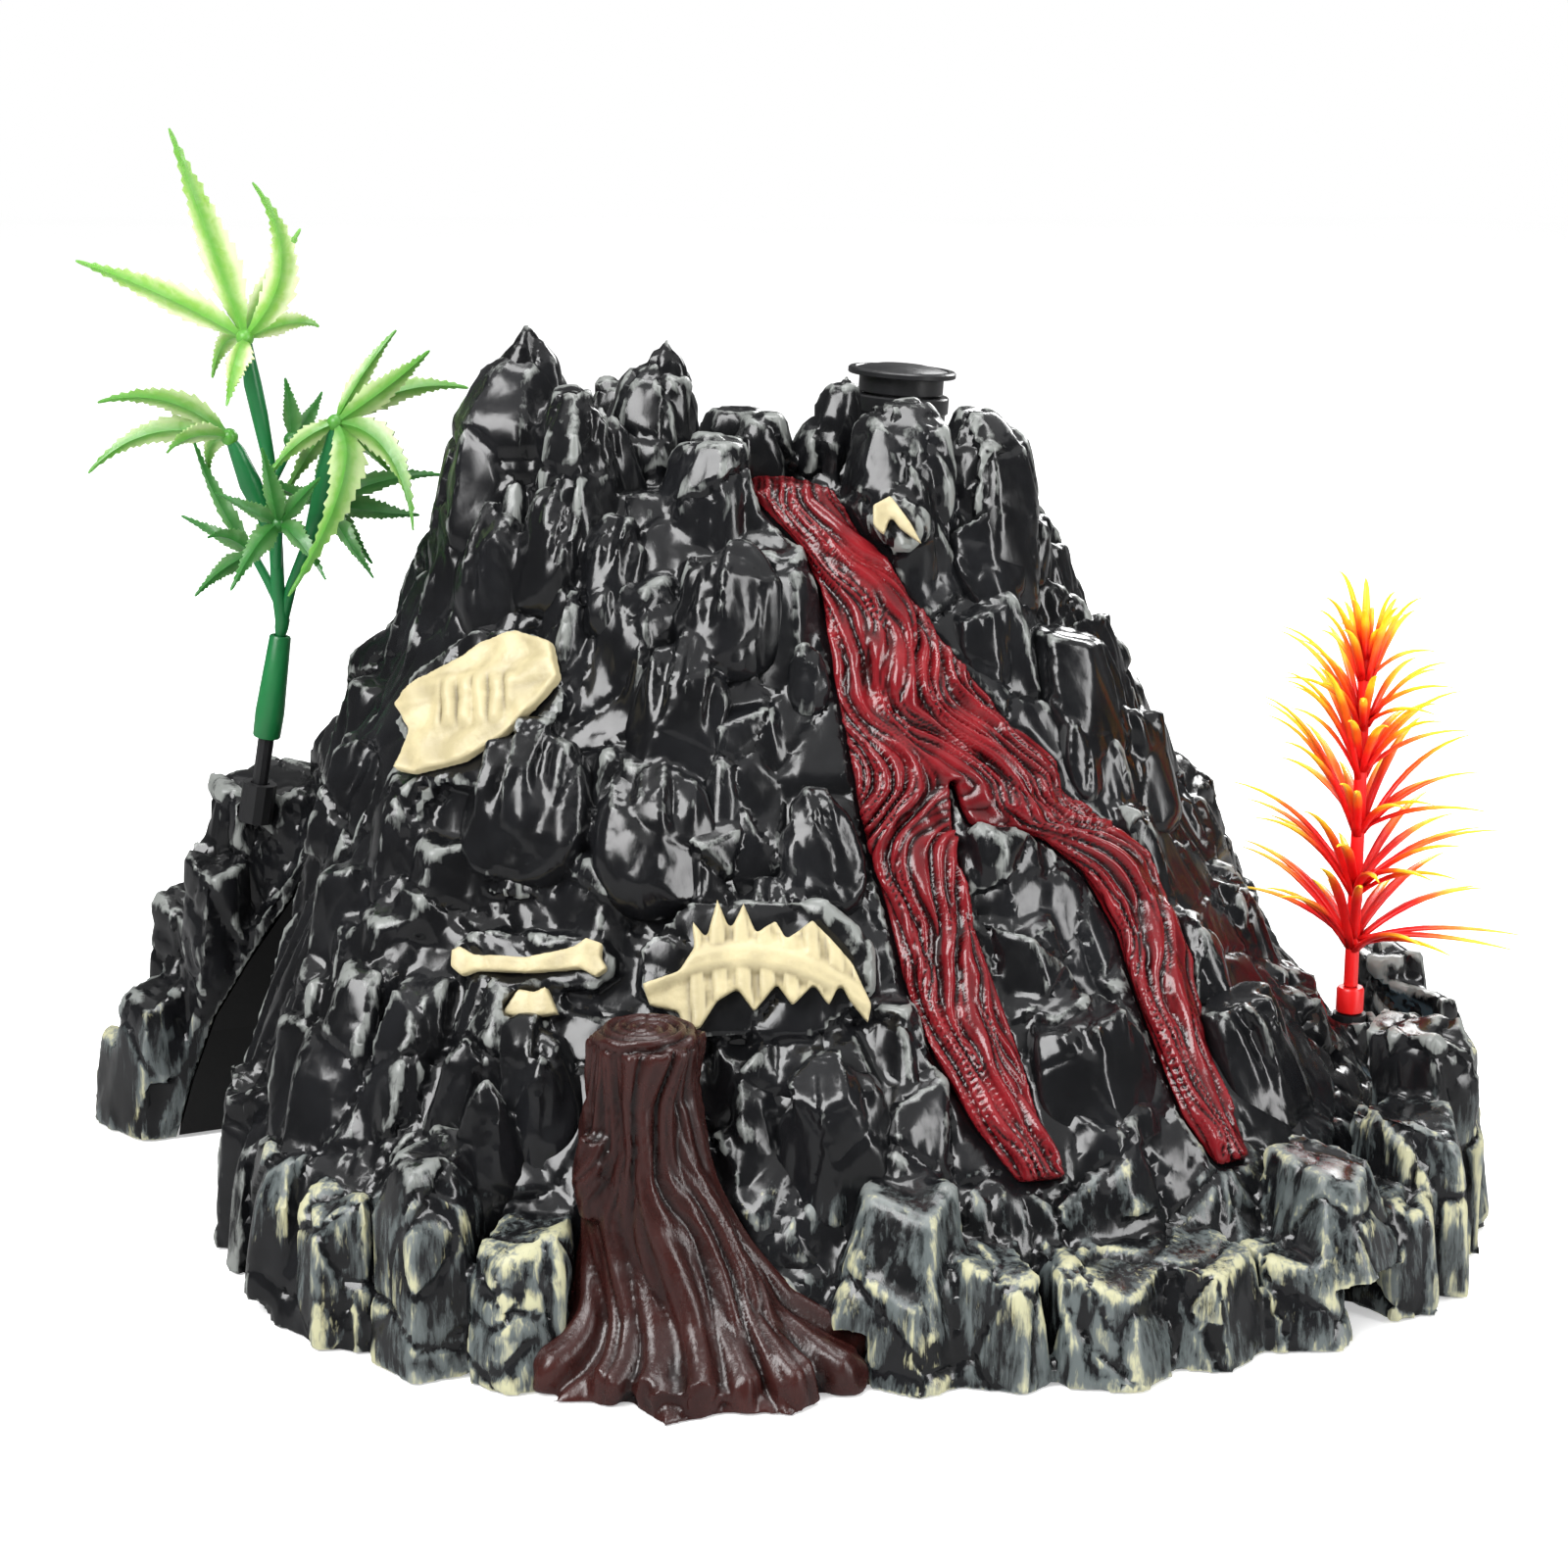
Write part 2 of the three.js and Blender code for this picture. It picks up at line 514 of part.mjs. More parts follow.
// Frame of a plate: its own axes, and its outline laid flat in them
function plateFrame({ at, face, outline }) {
  const normal = new THREE.Vector3(...face).normalize();
  const right = new THREE.Vector3(-normal.y, normal.x, 0).normalize().multiplyScalar(1);
  const up = normal.clone().cross(right).normalize();
  const look = new THREE.Vector3(0, 1, -VIEW_DOWN).normalize();
  const lift = new THREE.Vector3(0, VIEW_DOWN, 1).normalize();
  const flat = outline.map(([a, b]) => {
    const p = new THREE.Vector3(a, 0, 0).addScaledVector(lift, b);
    p.addScaledVector(look, -normal.dot(p) / normal.dot(look));
    return [p.dot(right), p.dot(up)];
  });
  const matrix = new THREE.Matrix4().makeBasis(right, up, normal).setPosition(...at);
  return { flat, matrix };
}

function plateSolid(fossil, extra, from, to) {
  const { flat, matrix } = plateFrame(fossil);
  return solid(prism(grown(flat, extra), from, to).applyMatrix4(matrix));
}

function hull(fossil, margin) {
  const { flat, matrix } = plateFrame(fossil);
  const xs = flat.map(([x]) => x);
  const ys = flat.map(([, y]) => y);
  const [x0, x1] = [Math.min(...xs) - margin, Math.max(...xs) + margin];
  const [y0, y1] = [Math.min(...ys) - margin, Math.max(...ys) + margin];
  const cut = 0.34 * Math.min(x1 - x0, y1 - y0);
  const outline = [
    [x0 + cut, y0], [x1 - cut, y0], [x1, y0 + cut], [x1, y1 - cut],
    [x1 - cut, y1], [x0 + cut, y1], [x0, y1 - cut], [x0, y0 + cut],
  ];
  return solid(prism(outline, -FOSSIL.seat, -GAP).applyMatrix4(matrix));
}

// ---------------------------------------------------------------- cave
// Cave tunnel: outline grown by extra, from one depth to another along the tunnel
function tunnel(extra, from, to) {
  const open = [[CAVE_OUTLINE[0][0], -10], ...CAVE_OUTLINE, [CAVE_OUTLINE[CAVE_OUTLINE.length - 1][0], -10]];
  const shape = prism(grown(open, extra), from, to);
  const along = new THREE.Vector3(CAVE.ux, CAVE.uy, 0).normalize();
  const inward = new THREE.Vector3(-along.y, along.x, 0);
  const matrix = new THREE.Matrix4().makeBasis(along, new THREE.Vector3(0, 0, 1), inward);
  matrix.setPosition(CAVE.x, CAVE.y, 0);
  return solid(shape.applyMatrix4(matrix));
}

function caveLiner() {
  const floor = box(400, 400, 40, 0, 0, -39.5);
  const inside = coreSolid(WALL + GAP, -6, TOP - WALL - GAP);
  return tunnel(CAVE.liner, 0, CAVE.deep + CAVE.liner)
    .subtract(tunnel(0, -1, CAVE.deep))
    .intersect(inside)
    .subtract(floor);
}

// ---------------------------------------------------------------- bubble outlet
// Everything on the leaning stack line is made upright at 0, 0 and then tilted
function tiltStack(geometry) {
  const lean = THREE.MathUtils.degToRad(STACK.lean);
  geometry.translate(0, 0, -STACK.rim).rotateY(lean);
  return geometry.translate(STACK.x, STACK.y, STACK.rim);
}

function stackShape() {
  const foot = STACK.rim - STACK.long;
  const under = TOP - WALL - 1.6;
  return tiltStack(turned([
    [STACK.bore, foot], [STACK.r, foot], [STACK.r, under - STACK.collarThick],
    [STACK.collar, under - STACK.collarThick], [STACK.collar, under], [STACK.r, under],
    [STACK.r, STACK.rim - 3.4], [STACK.r + 0.5, STACK.rim - 3], [STACK.r + 0.5, STACK.rim],
    [STACK.bore, STACK.rim], [STACK.bore, foot],
  ], 18));
}

function capShape() {
  const seat = STACK.rim + GAP;
  const brim = seat + CAP.neckTall;
  return tiltStack(turned([
    [0, STACK.rim - CAP.plugLong], [CAP.plug - 0.8, STACK.rim - CAP.plugLong],
    [CAP.plug, STACK.rim - CAP.plugLong + 1.2], [CAP.plug, seat], [CAP.neck, seat], [CAP.neck, brim],
    [CAP.flange, brim], [CAP.flange, brim + CAP.flangeThick - 0.3],
    [CAP.flange - 0.5, brim + CAP.flangeThick], [CAP.flange * 0.55, brim + CAP.flangeThick + CAP.dome * 0.75],
    [0, brim + CAP.flangeThick + CAP.dome],
  ], 18));
}

function hoodShape() {
  const { mouth, mouthZ, neck, neckFrom, neckTo, wall, bore } = HOOD;
  return tiltStack(turned([
    [mouth - wall, mouthZ], [mouth, mouthZ], [mouth, mouthZ + 3], [neck, neckFrom], [neck, neckTo],
    [bore, neckTo], [bore, neckFrom - 1.5], [mouth - wall, mouthZ + 2], [mouth - wall, mouthZ],
  ], 16));
}

function airStone() {
  const { x, y, r, from, to, nipple, nippleLong } = AIR_STONE;
  const body = solid(turned([
    [0, from], [r - 0.8, from], [r, from + 0.8], [r, to - 0.8], [r - 0.8, to], [0, to],
  ], 16).translate(x, y, 0));
  const stub = new THREE.CylinderGeometry(nipple, nipple, nippleLong + 2, 12);
  stub.translate(0, nippleLong / 2 - 1, 0);
  return body.add(solid(stub.translate(x, y + r, HOSE.z)));
}

// Hose path from the air stone to the inlet
function hoseCurve(from, to) {
  const a = new THREE.Vector3(AIR_STONE.x, from, HOSE.z);
  const b = new THREE.Vector3(INLET.x, to, INLET.z);
  const reach = new THREE.Vector3(0, (to - from) * 0.45, 0);
  return new THREE.CubicBezierCurve3(a, a.clone().add(reach), b.clone().sub(reach), b);
}

function hoseSolid() {
  const from = AIR_STONE.y + AIR_STONE.r + 2;
  const to = INLET.face - 10 - GAP;
  const round = (r) => {
    const shape = new THREE.Shape();
    shape.absarc(0, 0, r, 0, 2 * Math.PI);
    return shape;
  };
  const sweep = (r, extra) => {
    const path = hoseCurve(from - extra, to + extra);
    const options = { steps: 8, curveSegments: 5, extrudePath: path, bevelEnabled: false };
    return solid(new THREE.ExtrudeGeometry(round(r), options));
  };
  return sweep(HOSE.r, 0).subtract(sweep(HOSE.bore, 0.6));
}

// Pieces on the inlet line are made along +Z and laid along +Y at the back
function layInlet(geometry) {
  return geometry.rotateX(-Math.PI / 2).translate(INLET.x, 0, INLET.z);
}

function grommetShape() {
  const { face, hole } = INLET;
  const inside = face - 7.5;
  return layInlet(turned([
    [3.6, inside], [hole + 1.6, inside], [hole + 1.6, inside + 1.6], [hole - GAP, inside + 1.6],
    [hole - GAP, face + GAP], [hole + 1.6, face + GAP], [hole + 1.6, face + 1.8], [3.6, face + 1.8],
    [3.6, inside],
  ], 12));
}

function fittingShape() {
  const { face, barbEnd } = INLET;
  const bore = 1.2;
  const tail = face - 18;
  return layInlet(turned([
    [bore, tail], [2, tail], [2, face - 10], [3.3, face - 10], [3.3, face + 2.1], [4.8, face + 2.1],
    [4.8, face + 3.9], [2.2, face + 3.9], [2.2, barbEnd - 8.4], [2.7, barbEnd - 8.4], [2.2, barbEnd - 5.2],
    [2.7, barbEnd - 5.2], [2, barbEnd], [bore, barbEnd], [bore, tail],
  ], 10));
}

// ---------------------------------------------------------------- base
function caveFloorCut() {
  return tunnel(CAVE.liner + 0.6, -CAVE.outside, CAVE.deep + CAVE.liner + 0.6);
}

function basePlate() {
  const level = (z) => {
    const points = [];
    for (let j = 0; j < CORE_SIDES; j++) {
      const point = corePoint((2 * Math.PI * j) / CORE_SIDES, z, WALL + PLATE.gap);
      points.push(point.setZ(z));
    }
    return points;
  };
  let plate = loft([level(0), level(PLATE.thick)]).subtract(caveFloorCut());
  for (const [x, y] of SCREW_AT) {
    plate = plate.subtract(rod(SCREW.shank + GAP, -1, PLATE.thick + 1, 8, x, y));
    plate = plate.subtract(rod(SCREW.head + GAP, -1, SCREW.headDeep + GAP, 10, x, y));
  }
  for (let k = 0; k < INTAKE.count; k++) {
    const angle = (2 * Math.PI * (k + 0.5)) / INTAKE.count;
    const x = AIR_STONE.x + INTAKE.ring * Math.cos(angle);
    const y = AIR_STONE.y + INTAKE.ring * Math.sin(angle);
    plate = plate.subtract(rod(INTAKE.r, -1, PLATE.thick + 1, 8, x, y));
  }
  return plate;
}

function screwShape([x, y]) {
  return turned([
    [0, 1], [SCREW.socket, 0.3], [SCREW.head, 0.3], [SCREW.head, SCREW.headDeep],
    [SCREW.shank, SCREW.headDeep], [SCREW.shank, SCREW.long - 1.5], [0, SCREW.long],
  ], 10).translate(x, y, 0);
}

// Bosses run up from the plate and die into the sloping wall
function bosses() {
  const posts = SCREW_AT.map(([x, y]) => {
    const post = rod(SCREW.boss, PLATE.thick + GAP, SCREW.bossTop, 10, x, y);
    return post.subtract(rod(SCREW.shank + GAP, 0, SCREW.long + 1, 14, x, y));
  });
  return joined(posts).intersect(coreSolid(0.5, -1, TOP));
}

function ballastShape({ x, y, w, d, h, turn }) {
  const [a, b] = [w / 2, d / 2];
  const cut = 2;
  const outline = [[a - cut, -b], [a, cut - b], [a, b - cut], [a - cut, b], [cut - a, b], [-a, b - cut],
    [-a, cut - b], [cut - a, -b]];
  const from = PLATE.thick + GAP;
  return prism(outline, from, from + h).rotateZ(turn).translate(x, y, 0);
}

// ---------------------------------------------------------------- pool
function poolOutline(extra) {
  const points = [];
  for (let k = 0; k < POOL.sides; k++) {
    const angle = (2 * Math.PI * k) / POOL.sides;
    const wave = 1 + 0.06 * Math.sin(3 * angle) + 0.04 * Math.cos(5 * angle);
    points.push([
      POOL.x + (POOL.rx + extra) * wave * Math.cos(angle),
      POOL.y + (POOL.ry + extra) * wave * Math.sin(angle),
    ]);
  }
  return points;
}

// Rock mound the red plant stands on, beside the water
function mound(extra) {
  return horn([
    [RED.x - 3, RED.y - 1, 0, 12 + extra, 11 + extra], [RED.x - 1.5, RED.y - 0.5, 20, 8.5 + extra, 8 + extra],
    [RED.x, RED.y, RED.z + extra, 6.5 + extra, 6.3 + extra],
  ], 77);
}

function poolBasin() {
  return solid(prism(poolOutline(7), 0, POOL.water + 1.5)).add(mound(0));
}

function poolWater() {
  return biggest(solid(prism(poolOutline(0), POOL.bed + GAP, POOL.water)).subtract(mound(GAP)));
}

// ---------------------------------------------------------------- rock shell
function rockShell() {
  let rock = coreSolid(0, 0, TOP);
  rock = joined([rock, ...backStones(), ...frontStones(), ...footStones()]);
  rock = joined([rock, ...HORNS.map((rings, k) => horn(rings, 700 + k)), poolBasin()]);
  rock = rock.add(box(INLET.bossW, 24, INLET.bossTop, INLET.x, INLET.face - 12, 0));
  rock = joined([rock, ...FOSSILS.map((fossil) => hull(fossil, FOSSIL.margin))]);
  rock = rock.subtract(coreSolid(WALL, -6, TOP - WALL));
  rock = rock.add(bosses());
  rock = rock.subtract(lavaBed());
  for (const fossil of FOSSILS) rock = rock.subtract(plateSolid(fossil, GAP, -GAP, 16));
  rock = rock.subtract(stumpSolid(GAP));
  rock = rock.subtract(solid(prism(poolOutline(GAP), POOL.bed, 90)).subtract(mound(0)));
  rock = rock.subtract(tunnel(0, -CAVE.outside, CAVE.deep));
  const hole = new THREE.CylinderGeometry(STACK.r + GAP, STACK.r + GAP, 80, 18).rotateX(Math.PI / 2);
  rock = rock.subtract(solid(tiltStack(hole.translate(0, 0, STACK.rim + 10))));
  const port = new THREE.CylinderGeometry(INLET.hole, INLET.hole, 60, 12);
  rock = rock.subtract(solid(port.translate(INLET.x, INLET.face, INLET.z)));
  rock = rock.subtract(box(40, 14, 60, INLET.x, INLET.face + 7, 0));
  rock = rock.subtract(box(20, 40, 20, INLET.x, INLET.face - 25.9, PLATE.thick));
  rock = rock.subtract(solid(tiltGreen(ring(GREEN.socket + GAP, 0.01, -GREEN.socketTall - GAP, 30, 12))));
  rock = rock.subtract(rod(RED.socket + GAP, RED.z - RED.socketTall - GAP, RED.z + 20, 12, RED.x, RED.y));
  return biggest(rock.subtract(box(400, 400, 40, 0, 0, -40)));
}

// Keep the main body where a cut has freed a crumb
function biggest(body) {
  const pieces = body.decompose();
  return pieces.reduce((best, piece) => (piece.volume() > best.volume() ? piece : best));
}

// ---------------------------------------------------------------- plants
// Pieces on the green plant's leaning line are made upright from its foot and tilted
function tiltGreen(geometry) {
  return geometry.rotateY(THREE.MathUtils.degToRad(GREEN.lean)).translate(GREEN.x, GREEN.y, GREEN.z);
}

function socketShape(r, tall, peg) {
  return ring(r, peg + GAP, -tall, 0.8, 12);
}

function greenPeg() {
  const top = SLEEVE.from + SLEEVE.pegDeep - GAP;
  return tiltGreen(turned([
    [0, -GREEN.pegIn + 3], [GREEN.peg, -GREEN.pegIn + 3], [GREEN.peg, SLEEVE.from - GAP],
    [SLEEVE.pegBore - GAP, SLEEVE.from - GAP], [SLEEVE.pegBore - GAP, top - 0.6],
    [SLEEVE.pegBore - GAP - 0.5, top], [0, top],
  ], 10));
}

function greenSleeve() {
  const { from, long, foot, top, pegBore, pinBore, pegDeep, web } = SLEEVE;
  const outside = [[foot, from], [foot + 0.15, from + 5], [top, from + long]];
  const upper = [[pinBore, from + long], [pinBore, from + pegDeep + web], [0, from + pegDeep + web]];
  const lower = [[0, from + pegDeep], [pegBore, from + pegDeep], [pegBore, from], [foot, from]];
  const profile = [...lower.slice(0, 3), ...outside, ...upper];
  return tiltGreen(turned(profile, 12));
}

// Tube along points, made as an extrusion
function tube(points, r, steps) {
  const path = new THREE.CatmullRomCurve3(points);
  const shape = new THREE.Shape();
  shape.absarc(0, 0, r, 0, 2 * Math.PI);
  const options = { steps, curveSegments: 3, extrudePath: path, bevelEnabled: false };
  return solid(new THREE.ExtrudeGeometry(shape, options));
}

function at(x, y, z) {
  return new THREE.Vector3(x, y, z);
}

// Point on the green plant's line, this far above its foot
function onGreenLine(up) {
  const lean = THREE.MathUtils.degToRad(GREEN.lean);
  return at(GREEN.x + up * Math.sin(lean), GREEN.y, GREEN.z + up * Math.cos(lean));
}

// Twigs of the green plant end in the hubs the whorls push on to
const HUBS = {
  top: at(-102.4, 20, 158.7),
  left: at(-106, 19, 140),
  right: at(-85.3, 17, 142.9),
  lowRight: at(-88.6, 23, 127),
  lowLeft: at(-103, 22, 117),
  front: at(-96.4, 14, 124),
  pod: at(-94.5, 22, 139),
};
const MAIN_STEM = 1.35;
const TWIG = 1.05;

function greenStem(extra) {
  const foot = onGreenLine(SLEEVE.from + SLEEVE.pegDeep + SLEEVE.web + GAP);
  const fork = onGreenLine(SLEEVE.from + SLEEVE.long + 3);
  const shoulder = onGreenLine(SLEEVE.from + SLEEVE.long + GAP);
  const spine = [shoulder, fork, at(-98.1, 20, 118), at(-98.7, 20, 135), at(-101.3, 20, 150), HUBS.top];
  const main = tube(spine, MAIN_STEM + extra, 8);
  const twigs = [
    [at(-98.2, 20, 124), at(-102.5, 19.5, 133), HUBS.left],
    [fork, at(-92, 20, 119), at(-88, 19, 132), HUBS.right],
    [at(-90.5, 19.6, 121), at(-89.4, 21.5, 124), HUBS.lowRight],
    [at(-98.2, 20, 108), at(-100.5, 21, 112), HUBS.lowLeft],
    [at(-98.1, 20, 115), at(-97.2, 17, 119), HUBS.front],
    [at(-98.5, 20, 131), at(-96.2, 21, 135), HUBS.pod],
  ].map((points) => tube(points, TWIG + extra, 3));
  const pinLine = [foot, foot.clone().lerp(shoulder, 0.5), shoulder.clone().lerp(fork, 0.4)];
  const pin = tube(pinLine, SLEEVE.pinBore - GAP + extra, 3);
  return joined([main, ...twigs, pin]);
}

// Blade from root to tip through a bend: diamond section, widest a third of the way up
function blade(root, bend, tip, width, thick) {
  const path = new THREE.QuadraticBezierCurve3(root, bend, tip);
  const steps = 4;
  const rings = [];
  const spread = tip.clone().sub(root);
  const side = spread.clone().cross(new THREE.Vector3(0, 1, 0.25)).normalize();
  if (side.length() < 0.5) side.set(1, 0, 0);
  for (let k = 0; k <= steps; k++) {
    const t = k / steps;
    const middle = path.getPoint(t);
    const along = path.getTangent(t);
    const across = side.clone().addScaledVector(along, -side.dot(along)).normalize();
    const face = along.clone().cross(across).normalize();
    const half = t === 1 ? 0 : (width / 2) * Math.sin(Math.PI * (0.16 + 0.8 * t ** 0.8));
    const deep = t === 1 ? 0 : (thick / 2) * (1 - 0.55 * t);
    rings.push([
      middle.clone().addScaledVector(across, half), middle.clone().addScaledVector(face, deep),
      middle.clone().addScaledVector(across, -half), middle.clone().addScaledVector(face, -deep),
    ]);
  }
  return loft(rings);
}

// Green whorls: hub, then leaves as bend, tip, width (all positions in the assembly)
const WHORLS = {
  green_leaves_top: ['top', [
    [-108, 19, 178, -114, 16, 197.7, 7], [-88, 17, 172, -98.4, 13, 188, 6],
    [-118, 20, 168, -133.2, 18, 173.3, 6], [-108, 26, 160, -111, 31, 150.3, 4],
    [-103, 12, 156, -104, 8, 147, 5], [-93, 25, 163, -89.4, 27, 160.4, 4],
    [-99, 32, 170, -94, 38, 178, 5]]],
  green_leaves_left: ['left', [
    [-116, 15, 151, -129, 11, 147.5, 5], [-122, 18, 145, -132.6, 16, 133.5, 5],
    [-112, 25, 140, -112, 28, 131.6, 4],
    [-112, 10, 143, -115, 3, 139, 4]]],
  green_leaves_right: ['right', [
    [-74, 13, 150, -66, 9, 157.5, 5], [-72, 17, 152, -60, 18, 149.5, 5], [-72, 11, 143, -69.5, 6, 124, 6],
    [-77, 6.5, 137, -93, 2.5, 112, 7], [-90, 25, 140, -98, 30, 127, 5]]],
  green_leaves_low_right: ['lowRight', [
    [-76, 24, 133, -66, 25, 132, 4], [-80, 29, 124, -72, 33, 123, 5], [-86, 31, 120, -82, 36, 113, 4]]],
  green_leaves_low_left: ['lowLeft', [
    [-107, 20, 122, -111, 18, 121, 4], [-104, 30, 118, -107, 36, 112, 4],
    [-111, 25, 127, -114.5, 27, 139, 3.6]]],
  green_leaves_front: ['front', [
    [-99, 7, 123, -104, 3, 113, 4.6], [-92, 8, 124, -86, 4, 115, 4.6], [-96, 6, 132, -97, 3, 140, 4]]],
  green_leaves_pod: ['pod', [
    [-94.5, 23, 145, -95.4, 22, 151, 3.6], [-92, 28, 143, -90, 32, 147, 3.4]]],
};

function whorl(hubName, leaves, stemRoom) {
  const hub = HUBS[hubName];
  const ball = solid(new THREE.IcosahedronGeometry(2.4, 0).translate(hub.x, hub.y, hub.z));
  const blades = leaves.map(([bx, by, bz, tx, ty, tz, width]) => (
    blade(hub, at(bx, by, bz), at(tx, ty, tz), width, 1.5)));
  return biggest(joined([ball, ...blades]).subtract(stemRoom));
}

// Red plant: tiers of needles pushed on a straight stem
// Tier: height above the foot, needle count, reach outwards, rise of the tip, first angle
const TIERS = [
  [14.5, 10, 26, 4, 0.45], [25.5, 10, 26.5, 7, 0.5], [37, 10, 21, 12, 0.1], [48, 9, 17.5, 12, 0.4],
  [57.5, 9, 15, 10, 0.0], [65, 8, 10.5, 11, 0.3], [70, 7, 5, 9, 0.6],
];
const ROCK_SIDE = 3.6;        // direction of the rock as seen from the red plant, radians
const SHORTEN = 0.6;          // share of its reach a low needle loses on the rock side
const ROCK_LIFT = 13;         // how much higher a low needle's tip stands on the rock side
const FREE_ABOVE = 60;        // tiers above this height don't need to clear the rock
const LIFT_SPREAD = 5;
const COLLAR_HALF = 1.6;

function needle(angle, foot, reach, rise) {
  const out = at(Math.cos(angle), Math.sin(angle), 0);
  const root = at(RED.x, RED.y, foot).addScaledVector(out, RED.stem + 0.8);
  const tip = root.clone().addScaledVector(out, reach).setZ(foot + rise);
  const bend = root.clone().addScaledVector(out, reach * 0.5).setZ(foot + rise * 0.25);
  const path = new THREE.QuadraticBezierCurve3(root, bend, tip);
  const across = at(-out.y, out.x, 0);
  const rings = [[0, 0.7], [0.5, 0.85], [1, 0]].map(([t, half]) => {
    const middle = path.getPoint(t);
    return [[1, -0.5], [-1, -0.5], [0, 0.9]].map(([s, up]) => (
      middle.clone().addScaledVector(across, s * half).add(at(0, 0, up * half))));
  });
  return loft(rings);
}

function tier([up, count, reach, rise, turn], index) {
  const any = random(900 + index);
  const z = RED.z + up;
  const low = Math.max(0, 1 - up / FREE_ABOVE);
  const collar = ring(RED.stem + 1.4, RED.stem + GAP, z - COLLAR_HALF, z + COLLAR_HALF, 12);
  const needles = [];
  for (let k = 0; k < count; k++) {
    const angle = turn + (2 * Math.PI * k) / count;
    const towardRock = Math.max(0, Math.cos(angle - ROCK_SIDE));
    const shorten = 1 - SHORTEN * towardRock * low;
    const lift = rise + LIFT_SPREAD * (any() - 0.5) + ROCK_LIFT * towardRock * Math.sqrt(low);
    needles.push(needle(angle, z, reach * shorten * (0.9 + 0.2 * any()), lift));
  }
  return joined([solid(collar.translate(RED.x, RED.y, 0)), ...needles]);
}

function redPeg() {
  const top = RED.z + 6;
  return turned([
    [0, RED.z - RED.pegIn + 3], [RED.peg, RED.z - RED.pegIn + 3], [RED.peg, RED.z + 0.8 + GAP],
    [RED.peg + 1, RED.z + 0.8 + GAP], [RED.peg + 1, top], [1.2, top], [1.2, RED.z + 3], [0, RED.z + 3],
  ], 12).translate(RED.x, RED.y, 0);
}

function redStem() {
  const { z, stem, tall } = RED;
  return turned([
    [0, z + 3.3], [0.9, z + 3.3], [0.9, z + 6.3], [stem, z + 6.3], [stem, z + tall],
    [stem * 0.6, z + tall + 3], [0, z + tall + 4],
  ], 10).translate(RED.x, RED.y, 0);
}

// ---------------------------------------------------------------- assembly
const ornament = new THREE.Group();
ornament.name = 'volcano_bubbling_ornament';
const add = (...args) => ornament.add(mesh(...args));

add('rock_shell', rockShell(), 0x2a2b2d, 0.45);
add('lava_stream', lavaSolid(), 0x7a1518, 0.3);
add('tree_stump', stumpSolid(0), 0x4a2a26, 0.5);
for (const fossil of FOSSILS) add(fossil.name, plateSolid(fossil, 0, 0, FOSSIL.thick), IVORY, 0.55);
add('cave_liner', caveLiner(), BLACK, 0.5);
add('pool_water', poolWater(), 0xb9cfdc, 0.15);

add('base_plate', basePlate(), BLACK, 0.6);
SCREW_AT.forEach((place, k) => add(`base_screw_${k + 1}`, screwShape(place), 0xa8a8a4, 0.35, 1));
for (const block of BALLAST) add(block.name, ballastShape(block), 0x8f8a80, 0.9);

add('crater_stack', stackShape(), BLACK, 0.4);
add('bubble_cap', capShape(), BLACK, 0.35);
const riser = ring(RISER.r, RISER.bore, RISER.from, RISER.to, 16);
add('riser_tube', tiltStack(riser), 0xd8dde0, 0.2);
add('bubble_hood', hoodShape(), 0x3a3d40, 0.5);
add('air_stone', airStone(), 0x6f86a0, 0.95);
add('air_hose', hoseSolid(), 0xd5dad6, 0.3);
add('inlet_grommet', grommetShape(), 0x202022, 0.8);
add('inlet_fitting', fittingShape(), 0xe6e6e0, 0.4);

add('green_socket', tiltGreen(socketShape(GREEN.socket, GREEN.socketTall, GREEN.peg)), BLACK, 0.7);
add('green_peg', greenPeg(), BLACK, 0.5);
add('green_sleeve', greenSleeve(), 0x14532c, 0.4);
add('green_stem', greenStem(0), 0x1c6b34, 0.4);
const stemRoom = greenStem(GAP);
for (const [name, [hub, leaves]] of Object.entries(WHORLS)) {
  add(name, whorl(hub, leaves, stemRoom), 0x6fbf3a, 0.45);
}

const redSocket = socketShape(RED.socket, RED.socketTall, RED.peg);
add('red_socket', redSocket.translate(RED.x, RED.y, RED.z), BLACK, 0.7);
add('red_peg', redPeg(), 0xa81420, 0.45);
add('red_stem', redStem(), 0xc41a1c, 0.45);
TIERS.forEach((row, k) => add(`red_tier_${k + 1}`, tier(row, k), 0xe8601c, 0.45));

export default ornament;
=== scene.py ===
"""Looks of the volcano bubbling ornament, laid out as a Blender add-on and run as a script."""

import math

import bpy
import numpy as np
from mathutils import Matrix, Vector, noise
from mathutils.bvhtree import BVHTree


